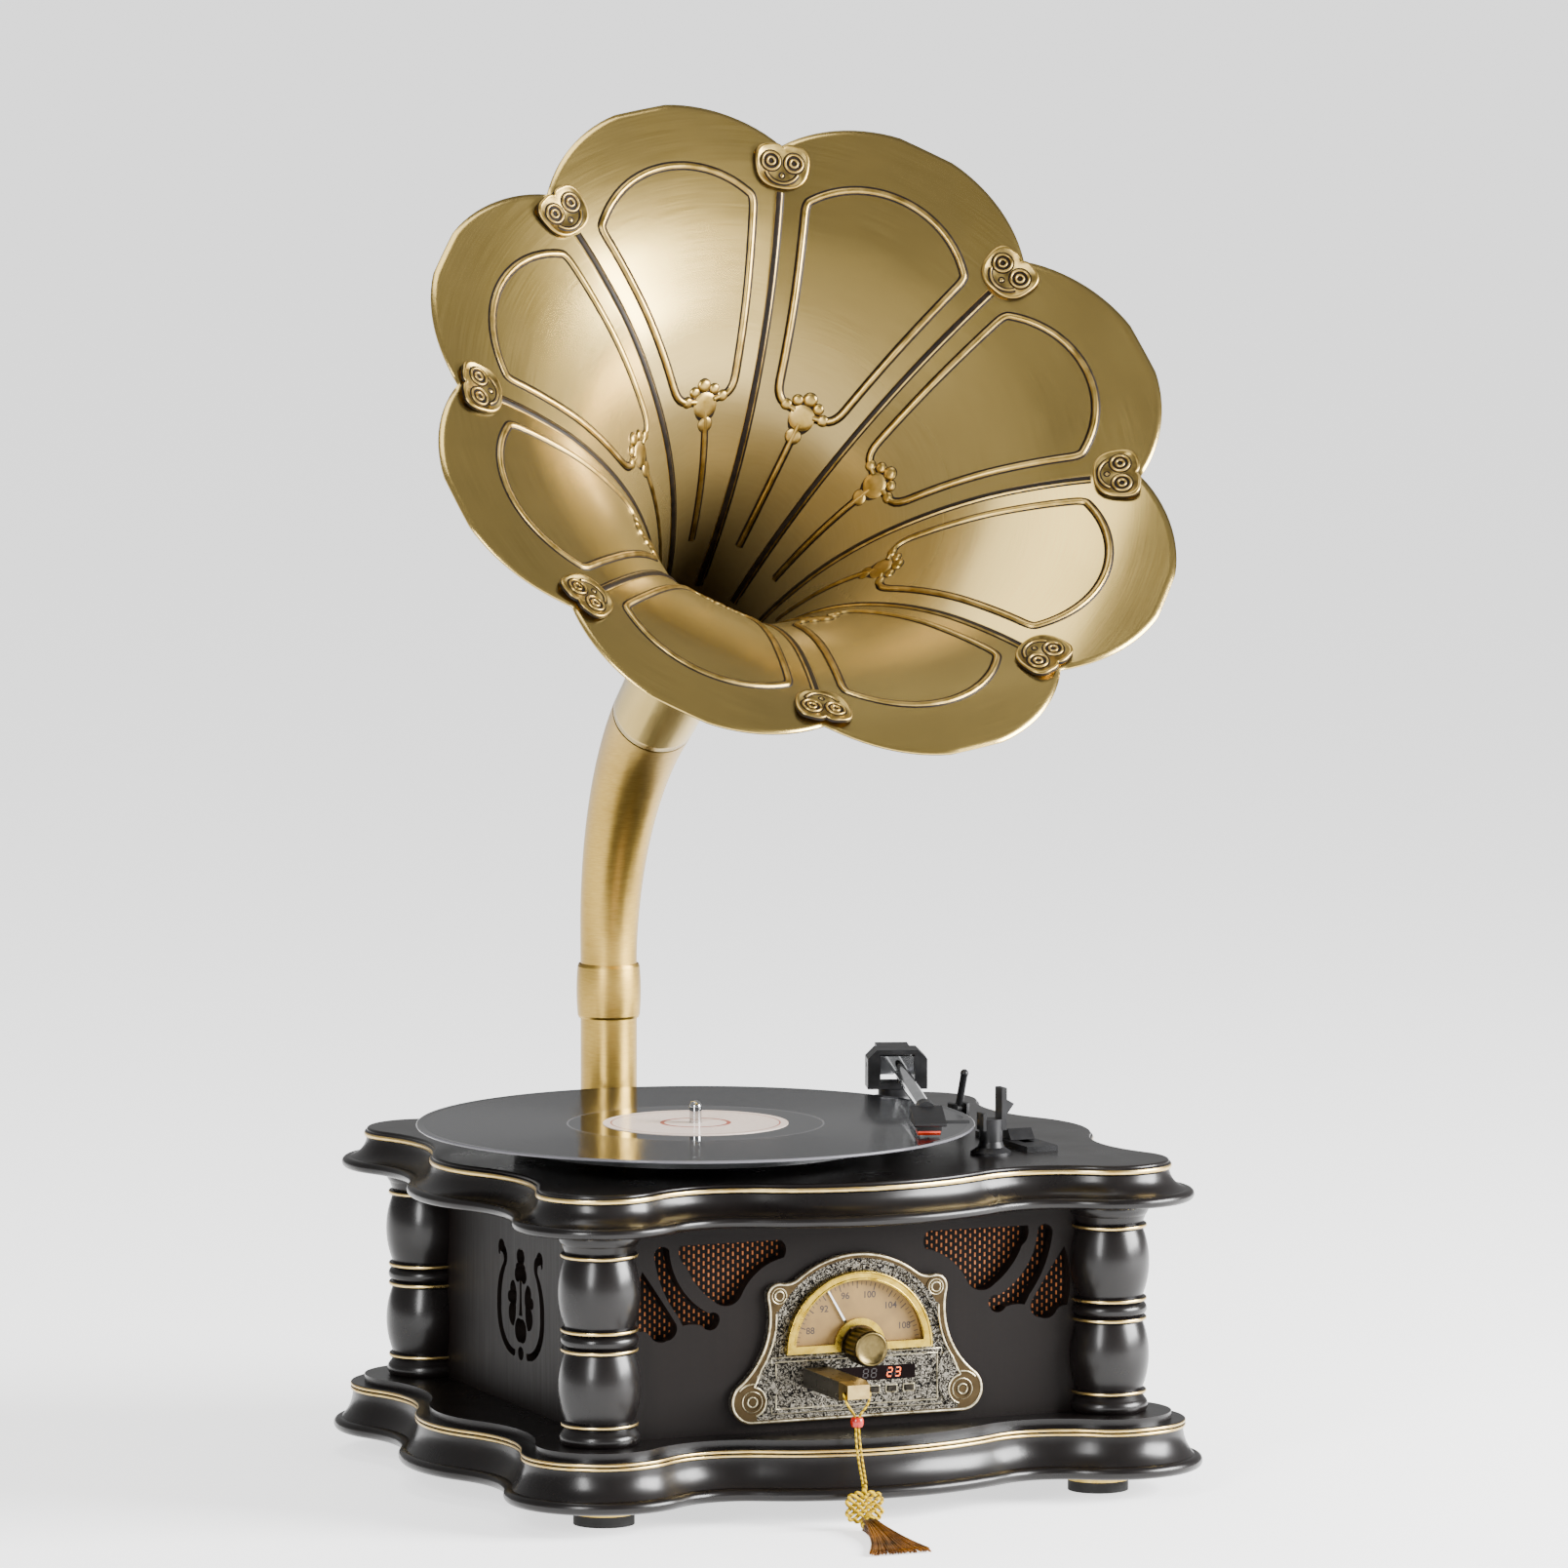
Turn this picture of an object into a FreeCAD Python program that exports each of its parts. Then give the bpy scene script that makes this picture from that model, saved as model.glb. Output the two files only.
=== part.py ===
import FreeCAD, Part
import math
import os
import re
import Sketcher

os.makedirs("parts", exist_ok=True)
doc = FreeCAD.newDocument("gramophone")
V = FreeCAD.Vector

# Sizes in millimetres and degrees
SIZES = {
    # Place of the case's centre, so that the whole object is centred on the origin
    "origin_x": 17.3, "origin_y": 31.3,
    # Case
    "foot_r": 17.5, "foot_pad_h": 6.0, "foot_top": 13.0, "foot_in": 4.0, "foot_chamfer": 1.2,
    "column_x": 147.0, "column_y": 129.0, "column_r": 21.9, "column_neck": 18.5, "ring_r": 20.0,
    "ring_half": 1.1, "ring_a": 54.4, "ring_b": 94.0, "ring_c": 104.5, "ring_d": 144.2,
    "base_floor": 25.0, "base_top": 43.5, "base_grow": 8.0, "slab_inset": 5.0, "slab_up": 4.0,
    "base_lip": 9.0, "base_lip_h": 7.0, "lip_bulge": 3.0, "lip_step": 1.5, "cove_out": 1.8,
    "bead_out": 1.4, "bead_h": 2.25, "bead_swell": 1.4, "sweep_in": 9.0,
    "deck_lip": 12.0, "deck_lip_h": 6.0, "deck_bead_h": 4.2, "deck_edge": 1.4,
    "deck_bottom": 158.0, "deck_top": 180.0, "deck_ceiling": 170.0,
    "lobe_r": 31.0, "side_reach": 186.0, "side_r": 70.0, "side_waist": 90.0,
    "front_reach": 164.0, "back_reach": 180.0, "front_r": 130.0, "front_waist": 60.0,
    "box_x": 141.5, "box_y": 127.0, "panel": 9.0, "cloth": 1.0, "cloth_margin": 6.0,
    "fan_x": 70.0, "fan_z": 129.0, "lyre_w": 70.0, "lyre_z": 70.0, "lyre_tall": 62.0,
    "vent_w": 60.0, "vent_h": 3.0, "vent_pitch": 8.0, "vent_z": 110.0,
    # Faceplate and controls
    "plate_t": 4.0, "dial_z": 86.0, "dial_r": 42.0, "dial_frame": 5.0, "dial_frame_t": 4.0,
    "dial_card_t": 0.5, "hub_r": 14.5, "hub_inner": 11.0, "dome_r": 55.6, "dome_top": 137.3,
    "ear_x": 45.2, "ear_z": 116.5, "ear_r": 7.0, "boss_x": 60.7, "boss_z": 60.5, "boss_r": 12.0,
    "side_flare": 45.0, "ear_blend": 12.0, "field_in": 4.0, "field_deep": 1.2,
    "rosette_r": 5.5, "rosette_in": 4.3, "rosette_h": 0.6, "screw_r": 2.0, "screw_h": 0.8,
    "subframe_x": 49.0, "subframe_low": 53.4, "subframe_top": 83.0, "subframe_w": 1.0, "subframe_h": 0.5,
    "flutes": 20.0, "flute_r": 0.7, "flute_margin": 2.5,
    "opening_x": 46.0, "opening_bottom": 56.0, "opening_top": 122.0,
    "knob_r": 10.0, "knob_len": 18.0, "knob_gap": 0.6, "shaft_r": 3.0, "run_gap": 0.05,
    "pointer_len": 34.0, "pointer_w": 1.4, "pointer_t": 0.6, "pointer_angle": 30.0, "pointer_gap": 0.5,
    "pointer_hub": 9.0,
    "window_x": 11.0, "window_w": 45.5, "window_h": 7.6, "window_z": 71.8, "window_t": 1.6,
    "button_x": 0.0, "button_pitch": 10.0, "button_w": 4.8, "button_h": 2.6, "button_z": 63.0,
    "button_out": 1.2, "button_in": 4.0, "free_gap": 0.3,
    "board_w": 92.0, "board_h": 64.0, "board_t": 1.6, "board_y": 105.0, "board_z": 52.0,
    "usb_x": -24.0, "usb_z": 72.0, "usb_w": 15.5, "usb_h": 10.0, "usb_len": 49.0, "usb_cap": 9.0,
    "usb_cap_w": 12.5, "plug_w": 12.0, "plug_h": 4.5, "plug_len": 13.0, "socket_wall": 1.0,
    "eye_r": 1.4,
    # Lanyard and tassel
    "cord_r": 0.6, "bead_r": 3.5, "bead_z": 56.0, "bead_y": -187.0, "knot_size": 24.0, "knot_t": 7.0,
    "knot_y": -197.0, "knot_z": 12.4, "tassel_len": 74.0, "tassel_w": 36.0, "tassel_drift": -12.0,
    "tassel_top_r": 4.0,
    # Turntable
    "disc_x": -48.0, "disc_y": -20.0, "disc_r": 150.5, "disc_t": 1.6, "disc_edge": 0.3,
    "label_r": 50.0, "dead_r": 62.0, "mat_r": 95.0, "mat_t": 1.5,
    "platter_r": 98.0, "platter_bottom": 184.0, "platter_top": 192.5, "web_t": 3.5, "rim_t": 5.0,
    "belt_ring_r": 56.0, "belt_ring_t": 4.0, "hub_out": 12.0,
    "spindle_r": 4.0, "pin_r": 3.3, "pin_root": 3.6, "pin_top": 207.5, "spindle_low": 154.0,
    "bearing_r": 9.0, "bearing_flange": 20.0, "bearing_flange_t": 2.0, "bearing_low": 152.0,
    "pulley_x": 66.0, "pulley_y": -45.0, "pulley_r": 6.0, "belt_t": 1.2, "belt_w": 3.6,
    "motor_r": 17.0, "motor_h": 28.0, "motor_shaft": 1.5,
    # Tonearm
    "arm_x": 113.0, "arm_y": 82.0, "arm_angle": -108.4, "arm_z": 207.0, "arm_r": 4.0, "arm_len": 208.7,
    "arm_base_r": 16.0, "arm_base_neck": 10.0, "arm_base_top": 194.0, "yoke_w": 33.0, "yoke_len": 20.0,
    "yoke_cheek": 7.0, "yoke_top": 216.0, "yoke_chamfer": 5.0, "yoke_floor": 3.0, "yoke_shaft": 4.0,
    "pivot_pin": 1.5, "block_len": 12.0, "block_h": 10.0,
    "weight_len": 22.0, "weight_w": 18.0, "weight_h": 15.0, "weight_gap": 5.0,
    "shell_len": 40.0, "shell_w": 17.0, "shell_t": 3.0, "lift_len": 14.0, "lift_t": 1.2,
    "cart_len": 17.0, "cart_w": 13.0, "cart_h": 5.0, "stylus_h": 3.2, "guard_h": 2.4,
    "rest_x": 94.5, "rest_y": -91.0, "rest_r": 6.3, "rest_flange": 11.0, "rest_flange_t": 4.0,
    "rest_prong": 3.0, "rest_tall": 216.0, "rest_low": 202.6, "rest_saddle": 199.2,
    "cue_x": 134.0, "cue_y": 44.0, "cue_post_r": 6.0, "cue_post_h": 9.0, "cue_len": 22.0, "cue_r": 2.0,
    "cue_lean": 22.0, "cue_slot": 5.4,
    "speed_x": 124.0, "speed_y": -58.0, "speed_len": 70.0, "speed_w": 18.0, "speed_t": 3.0,
    "slider_len": 18.0, "slider_h": 9.0, "speed_slot": 36.0, "slider_neck": 6.0,
    # Horn
    "tube_x": -30.0, "tube_y": 152.0, "tube_r": 15.6, "tube_wall": 2.0, "tube_low": 160.0, "tube_top": 246.0,
    "collar_low": 232.0, "collar_top": 262.0, "collar_r": 17.2, "neck_start": 246.4, "neck_wall": 1.6,
    "neck_turn": 51.0, "neck_bend": 178.0, "spout_r": 23.0, "bell_wall": 1.2, "bell_phase": 124.0,
    "bell_shift": 4.0, "petals": 8.0, "notch_r": 189.5, "tip_r": 213.0, "grille_r": 26.0, "grille_t": 1.2,
    "grille_back": 188.0, "grille_hole": 2.4, "medal_r": 176.0, "medal_w": 29.0, "medal_h": 30.0,
    "medal_t": 2.4, "medal_lift": 1.75, "medal_lean": 20.0, "mouth_out": 276.0, "mouth_z": 574.0,
    "spout_back": 270.0, "trim_h": 1.0, "trim_w": 2.4, "trim_gap": 0.05, "trim_round": 6.0,
    "panel_top": 177.0, "panel_shoulder": 160.0, "panel_corner": 76.5, "panel_wide": 17.2, "panel_slim": 13.0,
    "stem_top": 70.0, "stem_end": 36.0, "seam_top": 164.0, "seam_end": 32.0,
    # Speakers and inner parts
    "speaker_x": 86.0, "speaker_z": 120.0, "speaker_r": 33.0, "speaker_deep": 26.0, "magnet_r": 18.0,
    "magnet_t": 9.0, "flange_t": 2.5, "cone_r": 27.0, "cone_t": 0.8,
    "trafo_x": 70.0, "trafo_y": 50.0, "trafo_w": 56.0, "trafo_d": 44.0, "trafo_h": 40.0, "coil_out": 7.0,
    "inlet_x": -70.0, "inlet_w": 26.0, "inlet_h": 19.0, "line_x": 60.0, "line_pitch": 16.0, "line_r": 5.0,
    "rear_z": 72.0, "rear_deep": 14.0, "rear_out": 2.0,
}
dims = doc.addObject("Spreadsheet::Sheet", "dims")
for row, (name, size) in enumerate(SIZES.items(), start=1):
    dims.set("A%d" % row, name)
    dims.set("B%d" % row, str(size))
    dims.setAlias("B%d" % row, name)
doc.recompute()
NODES = []


def v(text):
    """Value of a formula of sheet names."""
    names = re.findall(r"[a-z_][a-z0-9_]*", text)
    worked = {name: float(dims.get(name)) for name in names if name in SIZES}
    total = 0.0
    for sign, term in re.findall(r"([+-]?)\s*([^+-]+)", text):
        product = 1.0
        for op, factor in re.findall(r"([*/]?)\s*([a-z0-9_.]+)", term):
            number = worked[factor] if factor in worked else float(factor)
            product = product / number if op == "/" else product * number
        total += -product if sign == "-" else product
    return total


def bind(thing, prop, text):
    """Tie a property to a formula of sheet names."""
    named = re.sub(r"[a-z_][a-z0-9_]*", lambda m: "dims." + m.group(0), text)
    thing.setExpression(prop, named)


def put(thing, x="0", y="0", z="0", turn=None):
    """Place a sub-part in the object's frame."""
    bind(thing, "Placement.Base.x", "origin_x + " + x)
    bind(thing, "Placement.Base.y", "origin_y + " + y)
    bind(thing, "Placement.Base.z", z)
    if turn is not None:
        thing.Placement = FreeCAD.Placement(thing.Placement.Base, turn)


def node(thing, label, x="0", y="0", z="0", turn=None):
    thing.Label = label
    put(thing, x, y, z, turn)
    NODES.append(thing)
    return thing


def box(x0, x1, y0, y1, z0, z1):
    solid = doc.addObject("Part::Box", "box")
    for prop, low, high in (("Length", x0, x1), ("Width", y0, y1), ("Height", z0, z1)):
        bind(solid, prop, high + " - (" + low + ")")
    for axis, low in (("x", x0), ("y", y0), ("z", z0)):
        bind(solid, "Placement.Base." + axis, low)
    return solid


def cylinder(r, z0, z1, x="0", y="0"):
    solid = doc.addObject("Part::Cylinder", "cylinder")
    bind(solid, "Radius", r)
    bind(solid, "Height", z1 + " - (" + z0 + ")")
    for axis, low in (("x", x), ("y", y), ("z", z0)):
        bind(solid, "Placement.Base." + axis, low)
    return solid


def rod(r, start, end):
    """Cylinder between two points."""
    solid = doc.addObject("Part::Cylinder", "rod")
    bind(solid, "Radius", r)
    solid.Height = (end - start).Length
    solid.Placement = FreeCAD.Placement(start, FreeCAD.Rotation(V(0, 0, 1), end - start))
    return solid


def cut(base, *tools):
    result = doc.addObject("Part::Cut", "cut")
    result.Base = base
    result.Tool = tools[0] if len(tools) == 1 else fuse(*tools)
    return result


def fuse(*parts):
    result = doc.addObject("Part::MultiFuse", "fuse")
    result.Shapes = list(parts)
    result.Refine = True
    return result


def group(*parts):
    result = doc.addObject("Part::Compound", "group")
    result.Links = list(parts)
    return result


def shaped(shape):
    result = doc.addObject("Part::Feature", "shape")
    result.Shape = shape
    return result


def path(points):
    """Closed wire in the local XY plane: (x, y) ends a line, (mx, my, x, y) ends an arc."""
    last = V(points[-1][-2], points[-1][-1], 0)
    edges = []
    for point in points:
        end = V(point[-2], point[-1], 0)
        if len(point) == 4:
            edges.append(Part.Arc(last, V(point[0], point[1], 0), end).toShape())
        else:
            edges.append(Part.LineSegment(last, end).toShape())
        last = end
    return Part.Wire(edges)


def body(label):
    thing = doc.addObject("PartDesign::Body", label)
    thing.Label = label
    return thing


def sketch(part, role, away="0"):
    """Sketch on one of the body's own origin planes."""
    flat = part.newObject("Sketcher::SketchObject", "outline")
    plane = [f for f in part.Origin.OriginFeatures if f.Role == role][0]
    flat.AttachmentSupport = [(plane, "")]
    flat.MapMode = "FlatFace"
    bind(flat, "AttachmentOffset.Base.z", away)
    return flat


def draw(flat, points):
    """Closed outline of lines and arcs whose ends are joined."""
    first = flat.GeometryCount
    last = V(points[-1][-2], points[-1][-1], 0)
    ends = []
    for point in points:
        end = V(point[-2], point[-1], 0)
        if len(point) == 4:
            middle = V(point[0], point[1], 0)
            number = flat.addGeometry(Part.ArcOfCircle(last, middle, end))
            forward = (middle - last).cross(end - middle).z > 0
            ends.append((number, 1, 2) if forward else (number, 2, 1))
        else:
            number = flat.addGeometry(Part.LineSegment(last, end))
            ends.append((number, 1, 2))
        last = end
    for one, two in zip(ends, ends[1:] + ends[:1]):
        flat.addConstraint(Sketcher.Constraint("Coincident", one[0], one[2], two[0], two[1]))
    return first


def rectangle(flat, x0, x1, y0, y1):
    """Rectangle with its four sides tied to the sheet."""
    low = V(v(x0), v(y0), 0)
    high = V(v(x1), v(y1), 0)
    corners = [(high.x, low.y), (high.x, high.y), (low.x, high.y), (low.x, low.y)]
    first = draw(flat, corners)
    for number, kind in enumerate(("Horizontal", "Vertical", "Horizontal", "Vertical")):
        flat.addConstraint(Sketcher.Constraint(kind, first + number))
    for place, kind, text in ((1, "DistanceX", x0), (1, "DistanceY", y0), (2, "DistanceX", x1),
                              (2, "DistanceY", y1)):
        edge = first if place == 1 else first + 1
        index = flat.addConstraint(Sketcher.Constraint(kind, -1, 1, edge, place, v(text)))
        bind(flat, "Constraints[%d]" % index, text)


def circle(flat, r, x="0", y="0"):
    """Circle with its centre and radius tied to the sheet."""
    number = flat.addGeometry(Part.Circle(V(v(x), v(y), 0), V(0, 0, 1), v(r)))
    index = flat.addConstraint(Sketcher.Constraint("Radius", number, v(r)))
    bind(flat, "Constraints[%d]" % index, r)
    for kind, text in (("DistanceX", x), ("DistanceY", y)):
        index = flat.addConstraint(Sketcher.Constraint(kind, -1, 1, number, 3, v(text)))
        bind(flat, "Constraints[%d]" % index, text)


def pad(part, flat, length, back=False):
    feature = part.newObject("PartDesign::Pad", "pad")
    feature.Profile = flat
    bind(feature, "Length", length)
    feature.Reversed = back
    part.Tip = feature
    return feature


def pocket(part, flat, length=None, back=False):
    feature = part.newObject("PartDesign::Pocket", "pocket")
    feature.Profile = flat
    if length is None:
        feature.Type = "ThroughAll"
        feature.Midplane = True
    else:
        bind(feature, "Length", length)
    feature.Reversed = back
    part.Tip = feature
    return feature


def turned(label, profile):
    """Body of revolution about its own Z axis."""
    part = body(label)
    flat = sketch(part, "XZ_Plane")
    draw(flat, profile)
    feature = part.newObject("PartDesign::Revolution", "turning")
    feature.Profile = flat
    feature.ReferenceAxis = (flat, ["V_Axis"])
    feature.Angle = 360
    part.Tip = feature
    return part


OUTWARD = FreeCAD.Rotation(V(1, 0, 0), 90)


def blend(near, near_r, far, far_r, r, side):
    """Centre of a concave arc that touches two convex arcs from outside."""
    span = far - near
    along = ((near_r + r) ** 2 - (far_r + r) ** 2 + span.Length ** 2) / (2 * span.Length)
    across = math.sqrt((near_r + r) ** 2 - along ** 2)
    unit = span / span.Length
    return near + unit * along + V(-unit.y, unit.x, 0) * across * side


def case_outline(grow):
    """Serpentine outline of the case, moved outward, as arcs anticlockwise from the right side."""
    x, y = v("column_x"), v("column_y")
    lobe = v("lobe_r") + grow
    sides = [
        (V(v("side_reach - side_r"), 0, 0), v("side_r") + grow, v("side_waist") - grow),
        (V(0, v("back_reach - front_r"), 0), v("front_r") + grow, v("front_waist") - grow),
        (V(v("side_r - side_reach"), 0, 0), v("side_r") + grow, v("side_waist") - grow),
        (V(0, v("front_r - front_reach"), 0), v("front_r") + grow, v("front_waist") - grow),
    ]
    corners = [V(x, y, 0), V(-x, y, 0), V(-x, -y, 0), V(x, -y, 0)]
    arcs = []
    for (centre, r, waist), corner, following in zip(sides, corners, sides[1:] + sides[:1]):
        arcs.append((centre, r, 1))
        arcs.append((blend(centre, r, corner, lobe, waist, -1), waist, -1))
        arcs.append((corner, lobe, 1))
        arcs.append((blend(corner, lobe, following[0], following[1], following[2], -1), following[2], -1))
    joints = []
    for one, two in zip(arcs, arcs[1:] + arcs[:1]):
        joints.append(one[0] + (two[0] - one[0]) * (one[1] / (one[1] + two[1])))
    points = []
    for arc, start, end in zip(arcs, joints[-1:] + joints[:-1], joints):
        middle = (start + end) * 0.5 - arc[0]
        middle = arc[0] + middle * (arc[1] / middle.Length)
        points.append((middle.x, middle.y, end.x, end.y))
    return points


def moulded(label, grow, low, high, slab_grow, profile):
    """Plate with a moulded edge swept round the case outline."""
    part = body(label)
    slab = sketch(part, "XY_Plane", low)
    draw(slab, case_outline(slab_grow))
    pad(part, slab, high + " - " + low)
    round_case = sketch(part, "XY_Plane", low)
    draw(round_case, case_outline(grow))
    edge = sketch(part, "YZ_Plane")
    reach = v("front_reach") + grow
    draw(edge, [tuple(-(reach + n) if i % 2 == 0 else n for i, n in enumerate(point)) for point in profile])
    sweep = part.newObject("PartDesign::AdditivePipe", "moulding")
    sweep.Profile = edge
    sweep.Spine = (round_case, ["Edge%d" % (n + 1) for n in range(round_case.GeometryCount)])
    sweep.Transition = "Transformed"
    part.Tip = sweep
    return part


# Base plate: half-round lip, wide hollow, two gilt beads and an inset top slab
keep, swell = -v("sweep_in"), v("bead_out + bead_swell")
lip_round, step_in, inner_bead = v("lip_bulge"), v("lip_step"), v("bead_out")
low, lip = v("foot_top"), v("base_lip")
lip_top = v("foot_top + base_lip_h")
bead_high = v("base_top - slab_up")
bead_mid = v("base_top - slab_up - bead_h")
bead_low = v("base_top - slab_up - 2 * bead_h")
base_plate = moulded("base_plate", v("base_grow"), "foot_top", "base_top", v("base_grow - slab_inset"), [
    (keep, low), (lip, low), (lip + lip_round, (low + lip_top) / 2, lip, lip_top), (lip - step_in, lip_top),
    (v("bead_out + cove_out"), lip_top + 0.43 * (bead_low - lip_top), inner_bead, bead_low),
    (swell, (bead_low + bead_mid) / 2, inner_bead, bead_mid),
    (swell, (bead_mid + bead_high) / 2, inner_bead, bead_high), (keep, bead_high)])
hollow = sketch(base_plate, "XY_Plane", "base_top")
rectangle(hollow, "panel + 1 - box_x", "box_x - panel - 1", "panel + 1 - box_y", "box_y - panel - 1")
pocket(base_plate, hollow, "base_top - base_floor")
node(base_plate, "base_plate")

# Feet: a rubber pad under a brass ring at each corner
pads = []
rings = []
for sx in ("", "-"):
    for sy in ("", "-"):
        x = "%s(column_x - foot_in)" % sx
        y = "%s(column_y - foot_in)" % sy
        pads.append(cylinder("foot_r - foot_chamfer", "0", "foot_pad_h", x, y))
        rings.append(cylinder("foot_r", "foot_pad_h", "foot_top", x, y))
node(group(*pads), "foot_pads")
node(group(*rings), "foot_rings")

# Columns: turned, with four gilt rings, notched over the box corners
low, high = v("base_top"), v("deck_bottom")
neck, belly, ring, half = v("column_neck"), v("column_r"), v("ring_r"), v("ring_half")
profile = [(0.0, high), (0.0, low), (neck + 1.5, low), (belly - 0.5, low + 3.4, neck + 1.5, low + 6.8)]
for level, upper in (("ring_a", "ring_b"), ("ring_b", "ring_c"), ("ring_c", "ring_d"), ("ring_d", None)):
    z = v(level)
    profile += [(neck, z - half - 0.8), (ring, z - half), (ring + 0.6, z, ring, z + half),
                (neck, z + half + 0.6)]
    if upper is not None:
        top = v(upper) - half - 0.8
        bulge = belly if top - z > 20 else belly - 1.2
        profile.append((bulge, (z + half + 0.6 + top) / 2, neck, top))
profile = [p for n, p in enumerate(profile) if n == 0 or p[-2:] != profile[n - 1][-2:]]
profile += [(neck + 1.5, high - 8.0), (belly - 0.3, high - 4.0, neck + 1.5, high)]
for depth, sy in (("front", -1), ("back", 1)):
    pair = []
    for side, sx in (("left", -1), ("right", 1)):
        column = turned("column_%s_%s" % (depth, side), profile)
        notch = sketch(column, "XY_Plane", "base_top")
        corner_x = "(box_x - column_x)" if sx > 0 else "(column_x - box_x)"
        corner_y = "(box_y - column_y)" if sy > 0 else "(column_y - box_y)"
        far = "2 * column_r"
        xs = ("0 - " + far, corner_x) if sx > 0 else (corner_x, far)
        ys = ("0 - " + far, corner_y) if sy > 0 else (corner_y, far)
        rectangle(notch, xs[0], xs[1], ys[0], ys[1])
        pocket(column, notch)
        bind(column, "Placement.Base.x", "%scolumn_x" % ("-" if sx < 0 else ""))
        bind(column, "Placement.Base.y", "%scolumn_y" % ("-" if sy < 0 else ""))
        pair.append(column)
    node(group(*pair), "columns_" + depth)

# Speaker openings of the front panel's left half, as offsets from their centre
FAN = [(27.1, 17.0), (30.2, 12.8, 28.8, 7.3), (14.0, 0.5, 4.7, -11.6),
       (-3.9, -16.8, -10.7, -14.0), (-22.0, -3.0, -27.0, 6.2), (-30.8, 12.0, -30.4, 16.8)]
SLOT = [(-40.5, 17.0, -44.9, 11.2), (-41.0, -4.0, -31.3, -20.9), (-29.8, -24.0, -28.7, -25.9),
        (-23.0, -25.5, -17.6, -26.5), (-12.4, -29.2, -8.2, -25.4), (-10.0, -20.0, -13.5, -20.2),
        (-28.0, -8.0, -36.5, 15.0)]
WEDGE = [(-43.0, -8.5, -33.0, -24.0), (-32.4, -29.0, -38.0, -33.4), (-44.0, -33.5, -46.7, -31.3),
         (-50.0, -28.0, -53.5, -27.7), (-55.5, -12.0, -51.8, 4.3)]
# Lyre fretwork of a side panel's right half, as fractions of its width and height
LYRE_HORN = [(0.42, 0.14, 0.5, 0.42), (0.47, 0.62, 0.37, 0.78), (0.365, 0.85, 0.40, 0.87),
             (0.425, 0.875, 0.435, 0.85), (0.46, 0.85, 0.465, 0.88), (0.42, 0.985, 0.34, 0.94),
             (0.29, 0.88, 0.30, 0.78),
             (0.39, 0.60, 0.41, 0.42), (0.36, 0.20, 0.12, 0.06), (0.12, 0.02, 0.17, 0.0)]
LYRE_LEAF = [(0.25, 0.34, 0.21, 0.46), (0.27, 0.52, 0.22, 0.56), (0.20, 0.64, 0.14, 0.66),
             (0.09, 0.58, 0.10, 0.46), (0.11, 0.34, 0.15, 0.26)]
LYRE_CLUB = [(0.035, 0.37), (0.02, 0.55, 0.02, 0.68), (0.12, 0.70, 0.10, 0.78), (0.085, 0.82, 0.055, 0.83),
             (0.06, 0.94, 0.0, 0.95), (-0.06, 0.94, -0.055, 0.83), (-0.085, 0.82, -0.10, 0.78),
             (-0.12, 0.70, -0.02, 0.68), (-0.02, 0.55, -0.035, 0.37)]
LYRE_EGG = [(0.08, 0.33, 0.0, 0.34), (-0.08, 0.33, -0.12, 0.24), (-0.08, 0.15, 0.0, 0.14),
            (0.08, 0.15, 0.12, 0.24)]
LYRE_DROP = [(0.0, 0.10, -0.06, 0.05), (0.0, -0.02, 0.06, 0.05)]


def mirrored(points):
    """The same outline on the other side, still closed in order."""
    flipped = [tuple(-n if i % 2 == 0 else n for i, n in enumerate(point)) for point in points]
    return flipped


# Front panel: speaker openings on both sides and one opening behind the faceplate
front = body("front_panel")
sheet = sketch(front, "XZ_Plane", "box_y - panel")
rectangle(sheet, "0 - box_x", "box_x", "base_top", "deck_bottom")
pad(front, sheet, "panel")
holes = sketch(front, "XZ_Plane", "box_y")
for table in (FAN, SLOT, WEDGE):
    left = [tuple(n + (v("fan_z") if i % 2 else -v("fan_x")) for i, n in enumerate(p)) for p in table]
    draw(holes, left)
    draw(holes, mirrored(left))
rectangle(holes, "0 - opening_x", "opening_x", "opening_bottom", "opening_top")
pocket(front, holes)
node(front, "front_panel")

# Back panel: vent slots, power inlet and line sockets
back = body("back_panel")
sheet = sketch(back, "XZ_Plane", "0 - box_y")
rectangle(sheet, "0 - box_x", "box_x", "base_top", "deck_bottom")
pad(back, sheet, "panel")
holes = sketch(back, "XZ_Plane", "0 - box_y")
for step in range(4):
    low_edge = "vent_z + %d * vent_pitch" % step
    rectangle(holes, "0 - vent_w / 2", "vent_w / 2", low_edge, low_edge + " + vent_h")
rectangle(holes, "inlet_x - inlet_w / 2", "inlet_x + inlet_w / 2", "rear_z - inlet_h / 2",
          "rear_z + inlet_h / 2")
for step in (0, 1):
    circle(holes, "line_r", "line_x + %d * line_pitch" % step, "rear_z")
pocket(back, holes)
node(back, "back_panel")

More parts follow.
